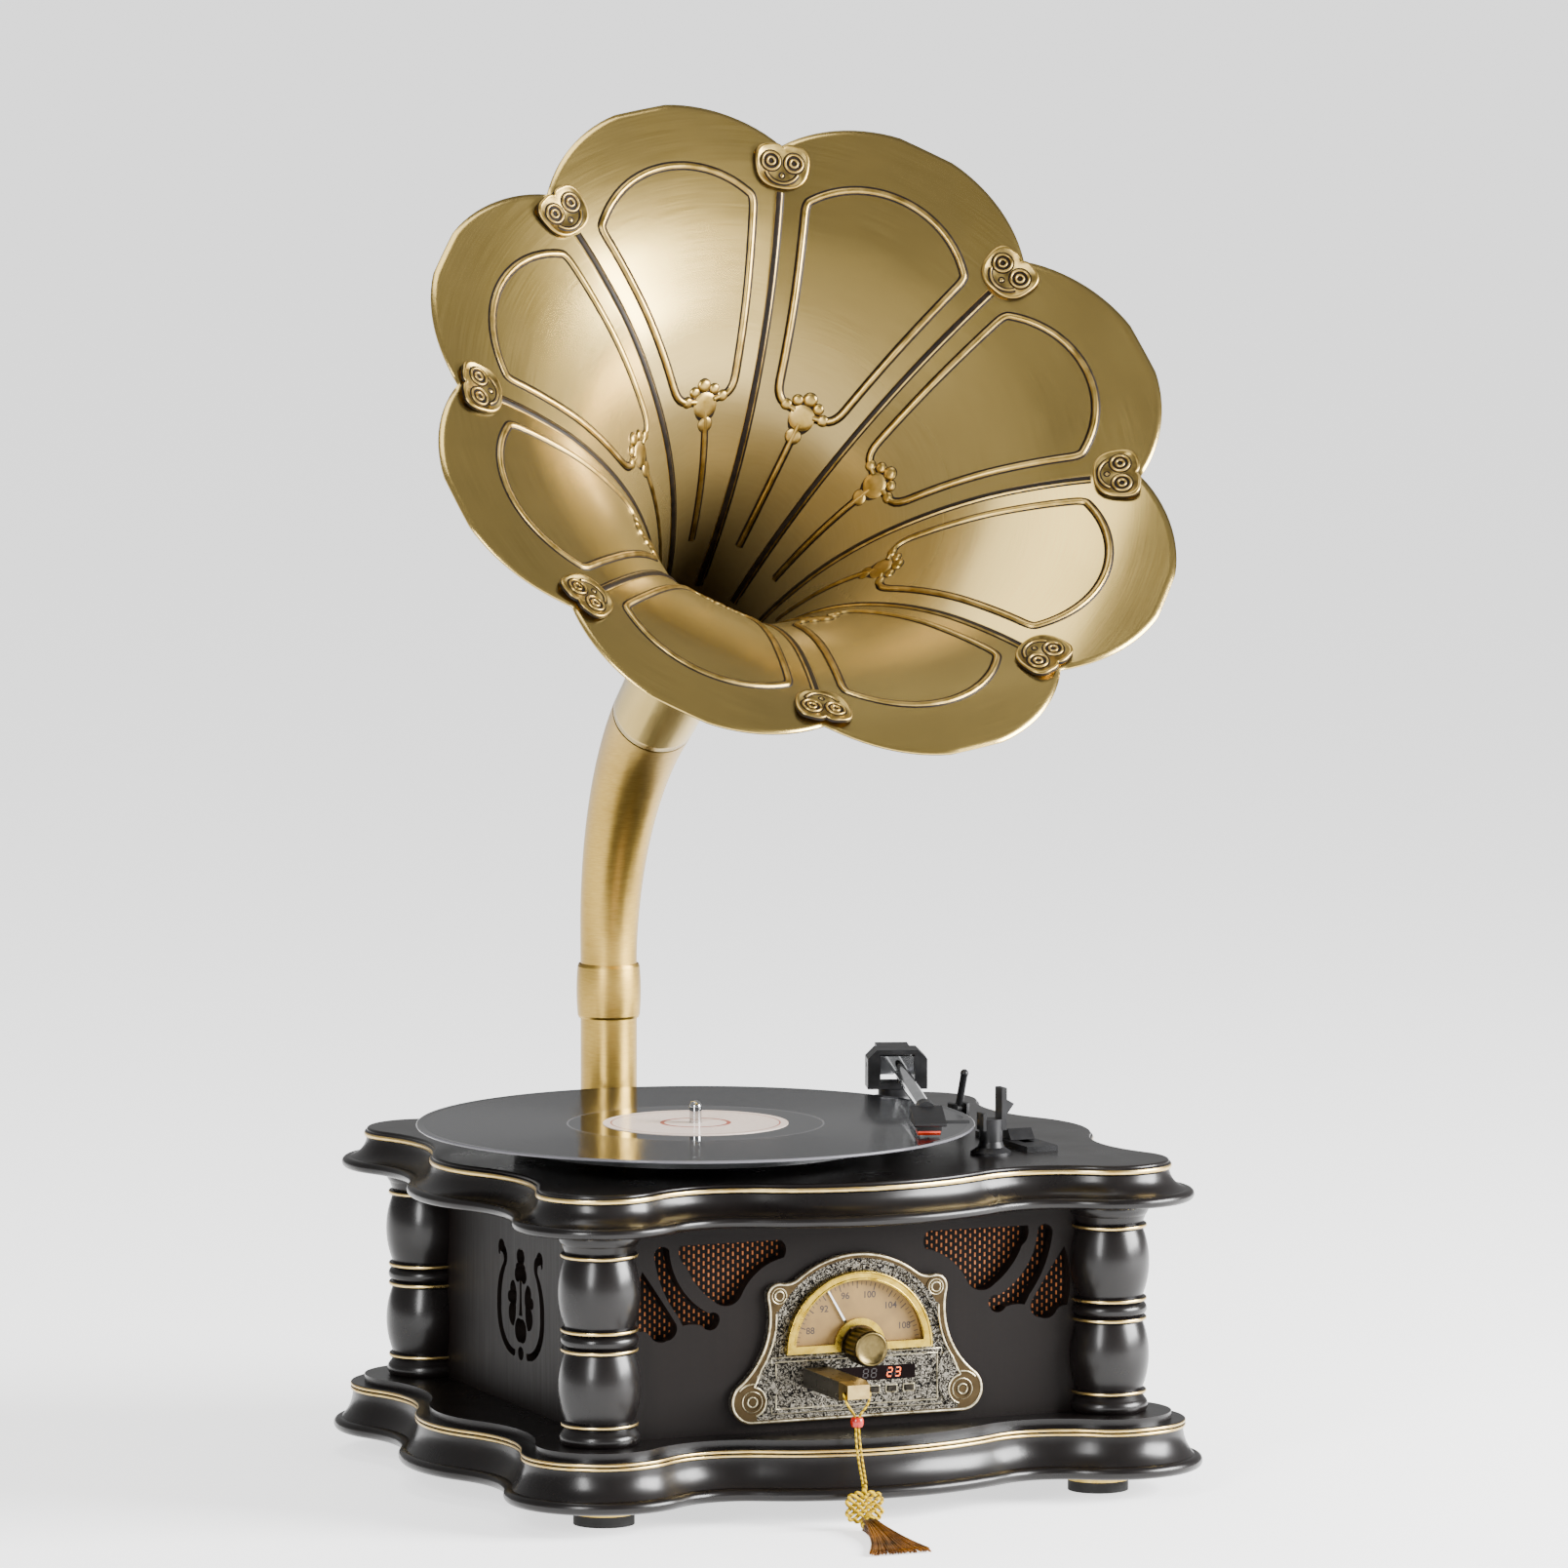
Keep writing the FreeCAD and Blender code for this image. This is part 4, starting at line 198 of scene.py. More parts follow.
# Back sockets: moulded black ABS power inlet and line sockets set in the back panel.
# Plain matt moulding with a fine spark-eroded grain, as on the tonearm parts.
abs_black = plain("moulded_black_abs", "#0F0F10", "#1C1C1E", 10, 0.35, (0.36, 0.5), 0.02)
shade(abs_black, {"Specular IOR Level": 0.25})
dress(abs_black, "rear_sockets")

# Deck: the same moulded board as the base, with one gilt bead and a half-round lip, carrying all that turns.
# Its top is polished flat, so it mirrors the tube and the arm.
dress(lacquer("rubbed_black_lacquer_deck", (176.5, 1.15)), "deck")

# Faceplate: one zinc casting with a hammered field inside a plain bronzed border, screwed to the front.
# The field is rubbed bright on its high spots, and the winding hollows between them stay dark.


def turn_in(near, near_r, far, far_r, r):
    """Centre of the hollow arc that touches two round corners from outside."""
    span = far - near
    reach = ((near_r + r) ** 2 - (far_r + r) ** 2 + span.length ** 2) / (2 * span.length)
    off = math.sqrt((near_r + r) ** 2 - reach ** 2)
    unit = span.normalized()
    return near + unit * reach + Vector((unit.y, -unit.x)) * off


dome, ear, boss = Vector((0, 81.7)), Vector((45.2, 116.5)), Vector((60.7, 60.5))
dome_r, ear_r, boss_r, knee_r, nook_r = 55.6, 7.0, 12.0, 45.0, 12.0
knee = turn_in(boss, boss_r, ear, ear_r, knee_r)
swan_in, arch_in, arch_low, boss_clear = 4.2, 3.0, 106.0, 7.6
swan_r, arch_r = knee_r + swan_in, dome_r - arch_in
field_middle, field_reach, field_half, field_deep = 79.2, 28.8, 58.0, -130.4
pewter, where = finish("hammered_zinc_casting", metallic=0.9)
parts = add(pewter, "SeparateXYZ", [where]).node.outputs
aside = add(pewter, "Math SUBTRACT", [parts["X"], home.x])
aside = add(pewter, "Math ABSOLUTE", [aside])
spot = add(pewter, "CombineXYZ", {"X": aside, "Y": parts["Z"]})
masks = []
for centre, r, test in ((boss, boss_clear, "Math GREATER_THAN"), (knee, swan_r, "Math GREATER_THAN"),
                        (dome, arch_r, "Math LESS_THAN")):
    middle = (centre.x / 1000, centre.y / 1000, 0.0)
    away = add(pewter, "VectorMath DISTANCE", [spot, middle], "Value")
    masks.append(add(pewter, test, [away, r / 1000]))
field = add(pewter, "Math COMPARE", [parts["Z"], field_middle / 1000, field_reach / 1000])
narrow = add(pewter, "Math LESS_THAN", [aside, field_half / 1000])
for mask in (narrow, masks[0], masks[1]):
    field = add(pewter, "Math MULTIPLY", [field, mask])
upper = add(pewter, "Math GREATER_THAN", [parts["Z"], arch_low / 1000])
domed = add(pewter, "Math MULTIPLY", [upper, masks[2]])
sunk = add(pewter, "Math GREATER_THAN", [parts["Y"], home.y + field_deep / 1000])
for mask in (sunk, domed):
    field = add(pewter, "Math MAXIMUM", [field, mask])
drift = add(pewter, "TexNoise", {"Vector": where, "Scale": 1000 / 1.9, "Detail": 1.0, "Distortion": 1.2})
offset = add(pewter, "Math SUBTRACT", [drift, 0.5])
offset = add(pewter, "Math ABSOLUTE", [offset])
worm = add(pewter, "MapRange", [offset, 0.04, 0.11])
hammered = add(pewter, "MixRGB", [worm, "#060505", "#7A756A"])
rubbed = add(pewter, "TexNoise", {"Vector": where, "Scale": 1000 / 5, "Detail": 4.0})
border = add(pewter, "MixRGB", [rubbed, "#221A0E", "#4A3C25"])
casting = add(pewter, "MixRGB", [field, border, hammered])
matt = add(pewter, "MapRange", [rubbed, 0, 1, 0.28, 0.5])
marks = add(pewter, "Math MULTIPLY", [worm, field])
dents = add(pewter, "Bump", {"Height": marks, "Strength": 0.9, "Distance": 0.0005})
shade(pewter, {"Base Color": casting, "Roughness": matt, "Normal": dents})
dress(pewter, "faceplate", "faceplate_screws")

# Faceplate relief: cast lines along the border, rosettes over the screws, scrolls and a sub-panel frame.
# They stand out of the same casting and are rubbed bright, so they are light lines on the bronze.


def merge(shapes):
    """One mesh from several: its vertices, its faces and the number of each face's finish."""
    verts, faces, which = [], [], []
    for points, sides, *finishes in shapes:
        faces += [tuple(n + len(verts) for n in side) for side in sides]
        verts += points
        which += finishes[0] if finishes else [0] * len(sides)
    return verts, faces, which


def put(name, data):
    """New object in the scene."""
    thing = bpy.data.objects.new(name, data)
    bpy.context.scene.collection.objects.link(thing)
    return thing


def piece(name, shapes, mats, body):
    """Smooth mesh of several shapes in the shared frame, riding on a body."""
    points, faces, which = merge(shapes)
    mesh = bpy.data.meshes.new(name)
    mesh.from_pydata([tuple(p) for p in points], [], faces)
    for mat in mats:
        mesh.materials.append(mat)
    for polygon, number in zip(mesh.polygons, which):
        polygon.use_smooth = True
        polygon.material_index = number
    mesh.validate()
    thing = put(name, mesh)
    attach(thing, body)
    return thing


def moulding(points, ups, section, closed=False):
    """Vertices and faces of a section, as (side, height) pairs, swept along a line lying on a surface."""
    verts, faces = [], []
    last = len(points) - 1
    for n, (point, up) in enumerate(zip(points, ups)):
        before = points[n - 1] if n > 0 or closed else point
        after = points[(n + 1) % len(points)] if n < last or closed else point
        side = (after - before).cross(up).normalized()
        verts += [point + side * across + up * high for across, high in section]
    wide = len(section)
    for n in range(len(points) if closed else last):
        for m in range(wide - 1):
            a, b = n * wide + m, ((n + 1) % len(points)) * wide + m
            faces.append((a, a + 1, b + 1, b))
    return verts, faces


def between(a, b, count):
    """Values from one to another in so many equal steps."""
    return [a + (b - a) * n / count for n in range(count + 1)]


def half_round(half, high, steps=8, lift=0.0):
    """Half-round section in millimetres."""
    return [(half * math.cos(a), lift + high * math.sin(a)) for a in between(0, math.pi, steps)]


def metres(section):
    """Section in metres, from millimetres."""
    return [(across / 1000, high / 1000) for across, high in section]


def on_plate(line, y):
    """Points of a line in the faceplate's plane, given as (x, z) pairs in millimetres."""
    return [at(x, y, z) for x, z in line]


def raised(line, y, half, high, closed):
    """Half-round bead along a line of the faceplate, its feet sunk in the casting."""
    points = on_plate(line, y)
    sunk_foot = -0.3
    section = [(half, sunk_foot)] + half_round(half, high) + [(-half, sunk_foot)]
    return moulding(points, [Vector((0, -1, 0))] * len(points), metres(section), closed)


def sweep_round(centre, r, one, two, steps):
    """Points on a circle from one point to another by the shorter way."""
    a, b = [math.atan2((p - centre).y, (p - centre).x) for p in (one, two)]
    b = a + (b - a + math.pi) % (2 * math.pi) - math.pi
    return [centre + Vector((math.cos(t), math.sin(t))) * r for t in between(a, b, steps)]


def plate_edge(inward):
    """Edge of the faceplate in its own plane, in millimetres, moved inward."""
    nook = turn_in(ear, ear_r - inward, dome, dome_r - inward, nook_r + inward)
    arcs = [(boss, boss_r - inward), (knee, knee_r + inward), (ear, ear_r - inward), (nook, nook_r + inward),
            (dome, dome_r - inward)]
    touch = [boss - Vector((0, boss_r - inward))]
    for (one, one_r), (two, two_r) in zip(arcs, arcs[1:]):
        touch.append(one.lerp(two, one_r / (one_r + two_r)))
    touch.append(dome + Vector((0, dome_r - inward)))
    right = []
    for (centre, r), start, end, steps in zip(arcs, touch, touch[1:], (20, 14, 14, 14, 24)):
        right += sweep_round(centre, r, start, end, steps)[1 if right else 0:]
    return right + [Vector((-p.x, p.y)) for p in reversed(right[:-1])]


def ring_line(x, y, r, start=0.0, end=360.0, steps=32):
    """Points on a circle, or on a stretch of it between two angles in degrees."""
    angles = [math.radians(a) for a in between(start, end, steps)]
    line = [(x + r * math.cos(a), y + r * math.sin(a)) for a in angles]
    return line[:-1] if end - start >= 360 else line


def rectangle(left, low, right, high, steps):
    """Points round a rectangle, as many to each side."""
    corners = [Vector((left, low)), Vector((left, high)), Vector((right, high)), Vector((right, low))]
    return [a.lerp(b, n / steps) for a, b in zip(corners, corners[1:] + corners[:1]) for n in range(steps)]


border_y, field_y = -131.0, -129.8
swan_top, swan_low, curl_r, hook_r = 107.0, 78.0, 7.9, 9.6
ends = [180 - math.degrees(math.asin((z - knee.y) / swan_r)) for z in (swan_top, swan_low)]
swan = ring_line(knee.x, knee.y, swan_r, *ends, 20) + ring_line(boss.x, boss.y, curl_r, 98, 255, 30)
hook = ring_line(boss.x, boss.y, hook_r, 40, 96, 14)
relief = [raised(plate_edge(0.9), border_y, 0.65, 0.55, True)]
for side in (-1, 1):
    for spot, wide, small in ((ear, 4.3, 2.5), (boss, 5.4, 2.7)):
        relief.append(raised(ring_line(side * spot.x, spot.y, wide), border_y, 0.55, 0.6, True))
        relief.append(raised(ring_line(side * spot.x, spot.y, small, steps=20), border_y, 0.5, 0.9, True))
    for line in (swan, hook):
        relief.append(raised([(side * x, z) for x, z in line], border_y, 0.5, 0.6, False))
for reach, low, high, half in ((49.0, 53.4, 83.0, 0.5), (46.6, 55.6, 80.8, 0.35)):
    relief.append(raised(rectangle(-reach, low, reach, high, 12), field_y, half, 0.5, True))
bright = plain("rubbed_zinc_relief", "#948868", "#DDD3B4", 3, 0.3, (0.25, 0.4), 0.01, metallic=0.9)
piece("faceplate_relief", relief, [bright], "cabinet")

# Dial card: printed card behind the frame, with a scale of strokes and plain numbers.
# Matt paper, once cream and browned in soft patches.
dress(plain("cream_printed_card", "#634A1C", "#7E6230", 14, 0.3, (0.6, 0.75), 0.01), "dial_card")
ink = plain("brown_printing_ink", "#140A05", "#26140A", 3, 0.3, (0.55, 0.7), 0.002)
card_y, dial_z = -130.32, 86.0
scale_start, scale_end, scale_r, number_r = 176, 4, 36.0, 29.0
long_in, short_in, stroke_gaps = 32.0, 33.6, 40
first_number, number_step, first_share, share_step = 88, 4, 0.1, 0.16
letter_high, letter_bold = 0.005, 0.0001


def on_scale(share):
    """Way from the dial's centre to a share of its scale."""
    angle = math.radians(scale_start + (scale_end - scale_start) * share)
    return Vector((math.cos(angle), math.sin(angle)))


def bar(a, b, half):
    """Corners of a flat bar from one point to another."""
    way = (b - a).normalized()
    off = Vector((-way.y, way.x)) * half
    return [a + off, a - off, b - off, b + off]


strokes = []
for n, share in enumerate(between(0, 1, stroke_gaps)):
    inner, half = (long_in, 0.3) if n % 4 == 0 else (short_in, 0.2)
    corners = bar(on_scale(share) * inner, on_scale(share) * scale_r, half)
    strokes.append((on_plate([(c.x, dial_z + c.y) for c in corners], card_y), [(0, 1, 2, 3)]))
for n in range(6):
    letters = bpy.data.curves.new("scale_number", "FONT")
    letters.body = str(first_number + number_step * n)
    letters.align_x = "CENTER"
    letters.align_y = "CENTER"
    letters.size = letter_high
    letters.offset = letter_bold
    shape = bpy.data.objects.new("scale_number", letters)
    mesh = bpy.data.meshes.new_from_object(shape)
    place = on_scale(first_share + share_step * n) * number_r
    spot = at(place.x, card_y, dial_z + place.y)
    strokes.append(([spot + Vector((v.co.x, 0, v.co.y)) for v in mesh.vertices],
                    [tuple(p.vertices) for p in mesh.polygons]))
    bpy.data.objects.remove(shape)
    bpy.data.curves.remove(letters)
    bpy.data.meshes.remove(mesh)
piece("dial_print", strokes, [ink], "cabinet")

# Dial frame: half ring and hub die-cast in one, gilt and lightly polished, with a raised edge.
# The gilding is yellower than the horn and bright on its rounded outer edge.
pale_gilt = plain("pale_gilt_casting", "#8C7220", "#BCA040", 5, 0.3, (0.22, 0.34), 0.004, metallic=1.0)
dress(pale_gilt, "dial_frame")
frame_front, rim_r, lip_r = -134.3, 41.3, 37.7
rim = [raised(ring_line(0, dial_z, rim_r, 0, 180, 48), frame_front, 0.7, 0.6, False),
       raised(ring_line(0, dial_z, lip_r, 6, 174, 48), frame_front, 0.5, 0.4, False)]
piece("dial_frame_edge", rim, [pale_gilt], "cabinet")

# Display: smoked acrylic window with lit numerals behind it, glued in from the back of the casting.
# Only the lit strokes glow; the rest of each numeral is a faint dark red. Here they lie on its face.
smoked = plain("smoked_acrylic", "#060202", "#0E0505", 12, 0.5, (0.06, 0.14), 0.002)
shade(smoked, {"Specular IOR Level": 0.03})
dress(smoked, "display_window")
lit, where = finish("lit_numeral", base_color="#C02A0A", emission_color="#FF7A14", emission_strength=2.6)
flicker = add(lit, "TexNoise", {"Vector": where, "Scale": 1000 / 1.5})
shade(lit, {"Roughness": add(lit, "MapRange", [flicker, 0, 1, 0.3, 0.5])})
unlit = plain("unlit_numeral", "#0E0303", "#140505", 3, 0.3, (0.3, 0.4), 0.002)
window_x, window_y, window_z = 11, -129.86, 69.5
numeral_wide, numeral_high, stroke_half, slant = 2.7, 4.6, 0.3, 0.12
BARS = {"a": (0, 1, 1, 1), "b": (1, 0.5, 1, 1), "c": (1, 0, 1, 0.5), "d": (0, 0, 1, 0), "e": (0, 0, 0, 0.5),
        "f": (0, 0.5, 0, 1), "g": (0, 0.5, 1, 0.5)}
glow, dim = [], []
for place, wanted in ((-7.5, ""), (-2.8, ""), (6.4, "abged"), (11.1, "abgcd")):
    for key, (x0, z0, x1, z1) in BARS.items():
        a = Vector((x0 * numeral_wide, z0 * numeral_high))
        b = Vector((x1 * numeral_wide, z1 * numeral_high))
        gap = (b - a).normalized() * stroke_half
        corners = bar(a + gap, b - gap, stroke_half)
        line = [(window_x + place + c.x + c.y * slant, window_z + c.y) for c in corners]
        (glow if key in wanted else dim).append((on_plate(line, window_y), [(0, 1, 2, 3)]))
piece("lit_numerals", glow, [lit], "cabinet")
piece("unlit_numerals", dim, [unlit], "cabinet")

# Push buttons: four small plated caps, each in a raised bright frame of the casting.
# Black nickel, wiped a little uneven, so that the frames show as light outlines.
nickel = plain("black_nickel_plate", "#1A1815", "#34302A", 2, 0.3, (0.25, 0.4), 0.004, metallic=1.0)
dress(nickel, "button_1", "button_2", "button_3", "button_4")
button_gap, button_z, around_x, around_z = 10.0, 63.0, 3.1, 1.9
frames = []
for n in range(4):
    outline = rectangle(n * button_gap - around_x, button_z - around_z, n * button_gap + around_x,
                        button_z + around_z, 6)
    frames.append(raised(outline, field_y, 0.35, 0.45, True))
piece("button_frames", frames, [bright], "cabinet")

# Tuning knob: turned brass, fluted round its side, with a flat face inside a plain rim.
# Antiqued dark in the flutes and rubbed bright on the lands; it turns the chromed pointer with it.
knob_y, knob_z = -127.0, 88.0
flutes, flute_deep, flute_r, flute_from, flute_to = 20, 0.75, 9.3, 9.0, 22.3
KNOB = [(3.0, -20.0), (3.0, 7.9), (9.0, 8.2), (9.7, 8.9), (9.9, 10.4), (9.9, 21.0), (9.6, 22.4), (8.9, 23.2),
        (8.3, 23.4), (7.9, 23.0), (7.6, 22.6), (4.0, 22.5), (0.05, 22.5)]


def turns(count):
    """Angles that share out one turn."""
    return between(0, 2 * math.pi, count)[:-1]


def skin(rings, loop=False, cap=False):
    """Vertices and faces of a sheet through rings of points, its last ring joined to the first or capped."""
    count, rows = len(rings[0]), len(rings)
    faces = []
    for row in range(rows if loop else rows - 1):
        low, high = row * count, (row + 1) % rows * count
        for n in range(count):
            m = (n + 1) % count
            faces.append((low + n, low + m, high + m, high + n))
    if cap:
        faces.append(tuple(range((rows - 1) * count, rows * count)))
    return [point for ring in rings for point in ring], faces


rings = []
for r, high in KNOB:
    deep = flute_deep if flute_r < r and flute_from < high < flute_to else 0.0
    ring = [(r - deep * (0.5 - 0.5 * math.cos(flutes * a)) ** 0.6, a) for a in turns(240)]
    rings.append([at(out * math.cos(a), knob_y - high, knob_z + out * math.sin(a)) for out, a in ring])
face_r, land_low, land_top = 0.0091, 0.0092, 0.0097
bronze, where = finish("antiqued_bronze", metallic=1.0)
parts = add(bronze, "SeparateXYZ", [where]).node.outputs
spot = add(bronze, "CombineXYZ", {"X": parts["X"], "Y": parts["Z"]})
off_axis = add(bronze, "VectorMath DISTANCE", [spot, (home.x, knob_z / 1000, 0.0)], "Value")
land = add(bronze, "MapRange", [off_axis, land_low, land_top])
face = add(bronze, "Math LESS_THAN", [off_axis, face_r])
rub = add(bronze, "Math MAXIMUM", [land, face])
cloudy = add(bronze, "TexNoise", {"Vector": where, "Scale": 1000 / 2.5, "Detail": 4.0})
lit_side = add(bronze, "MixRGB", [cloudy, "#453A22", "#73643E"])
aged = add(bronze, "MixRGB", [rub, "#0C0906", lit_side])
dull = add(bronze, "MapRange", [cloudy, 0, 1, 0.24, 0.42])
shade(bronze, {"Base Color": aged, "Roughness": dull})
knob = piece("fluted_knob", [skin(rings)], [bronze], "tuning")
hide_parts("tuning_knob")
chrome = plain("polished_chrome", "#B9BBBD", "#D9DADB", 15, 0.4, (0.05, 0.12), 0.001, metallic=1.0)
dress(chrome, "dial_pointer")

# USB stick: zinc shell with gold plating on top and cap, and black moulded sides.
# The plating is satin and wiped uneven; the eye across the cap takes the lanyard.
stick_low, stick_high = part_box("usb_stick")
middle_x = (stick_low.x + stick_high.x) / 2
side_off, cap_long = 0.0072, 0.009
golden, where = finish("gold_plated_zinc")
parts = add(golden, "SeparateXYZ", [where]).node.outputs
off = add(golden, "Math SUBTRACT", [parts["X"], middle_x])
off = add(golden, "Math ABSOLUTE", [off])
flank = add(golden, "Math GREATER_THAN", [off, side_off])
back_of = add(golden, "Math GREATER_THAN", [parts["Y"], stick_low.y + cap_long])
black_side = add(golden, "Math MULTIPLY", [flank, back_of])
wiped = add(golden, "TexNoise", {"Vector": where, "Scale": 1000 / 4, "Detail": 4.0})
plate = add(golden, "MixRGB", [wiped, "#86693A", "#CBB376"])
shell = add(golden, "MixRGB", [black_side, plate, "#17140F"])
metal = add(golden, "Math SUBTRACT", [1.0, black_side])
wipe = add(golden, "MapRange", [wiped, 0, 1, 0.2, 0.4])
shade(golden, {"Base Color": shell, "Metallic": metal, "Roughness": wipe})
dress(golden, "usb_stick")

# Lanyard: two strands of limp yellow silk cord from the eye through the bead to the knot.
# Twisted cord 1.2 mm thick, so its twist is drawn as slanting ridges, coarser than life, with painted shade
# in the hollows between them.
silk, where = finish("twisted_yellow_silk", roughness=0.6)
twist = add(silk, "TexWave", {"Vector": where, "Scale": 1000 / 6, "Distortion": 1.0}, "Fac",
            bands_direction="DIAGONAL")
# Painted shade: the yellow darkens where the twist's ridges dip.
twist_with_painted_shade = add(silk, "MixRGB", [twist, "#6A5000", "#CCAA00"])
ridges = add(silk, "Bump", {"Height": twist, "Strength": 0.6, "Distance": 0.0002})
shade(silk, {"Base Color": twist_with_painted_shade, "Normal": ridges, "Specular IOR Level": 0.15})
cord_x, cord_r = -24.0, 0.0006
ROUTE = [(7.55, -186.3, 71.6), (6.95, -188.5, 66.5), (0.9, -187.2, 59.5), (0.8, -187.0, 52.5),
         (1.2, -189.2, 40.5), (0.9, -197.0, 24.7)]
for name, side in (("lanyard_left", -1), ("lanyard_right", 1)):
    route = [at(cord_x + side * off, y, z) for off, y, z in ROUTE]
    line = bpy.data.curves.new(name, "CURVE")
    line.dimensions = "3D"
    spline = line.splines.new("NURBS")
    spline.points.add(len(route) - 1)
    for point, spot in zip(spline.points, route):
        point.co = (*spot, 1.0)
    spline.order_u = 3
    spline.use_endpoint_u = True
    line.bevel_depth = cord_r
    line.bevel_resolution = 4
    line.resolution_u = 16
    line.use_fill_caps = True
    line.materials.append(silk)
    cord = put(name, line)
    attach(cord, "stick")

# Bead: one glass bead threaded on both strands, red, with a wide bore.
# Pressed glass, glossy, with faint darker clouds.
glass = plain("red_pressed_glass", "#7A0C07", "#B81C0E", 3, 0.6, (0.15, 0.25), 0.01, coat_weight=0.15)
bead_y, bead_z = -187.0, 56.0
BEAD = [(2.1, -2.7), (2.6, -2.75), (3.1, -2.1), (3.45, -1.0), (3.5, 0.0), (3.45, 1.0), (3.1, 2.1),
        (2.6, 2.75), (2.1, 2.7)]
rings = [[at(x, y, bead_z + high) for x, y in ring_line(cord_x, bead_y, r, steps=40)] for r, high in BEAD]
bead = piece("glass_bead", [skin(rings, loop=True)], [glass], "stick")
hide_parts("bead")

# Knot: a square of the same silk in a thicker cord, woven over and under, with small loops round its edge.
# It stands on one corner under the strands, pulled tight by hand.
knot_y, knot_z, neck_r = -197.0, 12.4, 0.0014
pitch, reach, knot_wide, knot_high = 2.3, 5.6, 1.05, 0.8
strand_r, loop_r, weave_high, weave_reach = 0.00105, 0.001, 1.15, 4.3


def tube(points, r, steps=8):
    """Round cord along a line, with its ends closed."""
    rings, last = [], len(points) - 1
    side = Vector((0.3, 1.0, 0.2))
    for n, point in enumerate(points):
        way = (points[min(n + 1, last)] - points[max(n - 1, 0)]).normalized()
        side = (side - way * side.dot(way)).normalized()
        other = way.cross(side)
        rings.append([point + (side * math.cos(a) + other * math.sin(a)) * r for a in turns(steps)])
    verts, faces = skin(rings, cap=True)
    return verts, faces + [tuple(reversed(range(steps)))]


def on_knot(family, run, off, lift=0.0):
    """Point of the knot on a strand of one of its two families, run along it and off from its middle."""
    a, b = (run, off) if family == 0 else (off, run)
    return at(cord_x + (a - b) * knot_wide, knot_y + lift, knot_z + (a + b) * knot_high)


strands = []
for family in (0, 1):
    for n in range(4):
        line = []
        for run in between(-reach, reach, 40):
            over = weave_high * math.cos(math.pi * (run / pitch + 0.5 + n + family))
            line.append(on_knot(family, run, (n - 1.5) * pitch, over if abs(run) < weave_reach else 0.0))
        strands.append(tube(line, strand_r))
    for n, bulge in enumerate((1.6, 2.6, 1.6)):
        for end in (-1, 1):
            line = [on_knot(family, end * (reach - 0.2 + bulge * math.sin(a)),
                            (n - 1.0) * pitch + pitch / 2 * math.cos(a)) for a in between(0, math.pi, 12)]
            strands.append(tube(line, loop_r))
neck = [at(cord_x, knot_y, 19.5), at(cord_x, knot_y, 22.2), at(cord_x, knot_y + 0.2, 24.2)]
strands.append(tube(neck, neck_r))
knot = piece("woven_knot", strands, [silk], "stick")
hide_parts("knot")

# Tassel: a bundle of brown silk threads bound with yellow cord, lying on the table where it falls.
# The threads fan out towards their cut ends; their tone varies, and lighter bands painted into it stand for
# their shine.
threads, where = finish("brown_silk_thread", roughness=0.5, sheen_weight=0.05, sheen_roughness=0.3)
streak = add(threads, "TexNoise", {"Vector": where, "Scale": 1000 / 1.4, "Detail": 3.0})
broad = add(threads, "TexNoise", {"Vector": where, "Scale": 1000 / 14, "Detail": 2.0})
both = add(threads, "Math MULTIPLY", [streak, broad])
# Tone from thread to thread, with painted sheen in lighter bands.
tone_and_painted_sheen = add(threads, "MapRange", [both, 0.12, 0.4])
brown = add(threads, "MixRGB", [tone_and_painted_sheen, "#261103", "#84500C"])
shade(threads, {"Base Color": brown, "Specular IOR Level": 0.15})
tassel_y, tassel_long, sweep_aside, thread_r, lowest = -200.9, 74.0, 12.0, 0.00042, 0.75
bundle_half, fan_half, bundle_high, middle_high, end_high = 2.8, 17.2, 7.2, 1.8, 1.2
bound_y, bound_z, bound_half, bound_high, bound_pitch, bound_r = -201.0, 4.5, 3.4, 3.6, 1.25, 0.0007
random.seed(7)
hairs = []
for n in range(170):
    spread = random.uniform(-1, 1)
    level = random.random()
    length = tassel_long * random.uniform(0.93, 1.0)
    wave = random.uniform(-0.7, 0.7)
    line = []
    for share in between(0, 1, 9):
        fan = bundle_half * (1 - share) + fan_half * share ** 1.25
        pile = bundle_high * (1 - share) ** 2.2 + middle_high * share * (1 - share) + end_high * share
        aside = spread * fan + wave * math.sin(share * 6 + n)
        x = cord_x - sweep_aside * (share * length / tassel_long) ** 1.5 + aside
        line.append(at(x, tassel_y - length * share, lowest + level * pile))
    hairs.append(tube(line, thread_r, 5))
binding = []
for n in range(4):
    y = bound_y - n * bound_pitch
    line = [at(cord_x + bound_half * math.cos(a), y, bound_z + bound_high * math.sin(a))
            for a in between(0, 2 * math.pi, 20)]
    binding.append(tube(line, bound_r, 6))
tassel = piece("tassel_threads", hairs, [threads], "stick")
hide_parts("tassel")
piece("tassel_binding", binding, [silk], "stick")
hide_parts("lanyard_cord")

# Turntable: cast aluminium platter with a rubber mat, on a ground steel spindle with a chromed pin.
# The casting is painted dark and fine-grained, and is nearly hidden by the record.
dark_paint = plain("painted_aluminium_casting", "#232425", "#38393A", 8, 0.5, (0.35, 0.5), 0.03, metallic=0.6)
dress(dark_paint, "platter")
dress(chrome, "spindle")

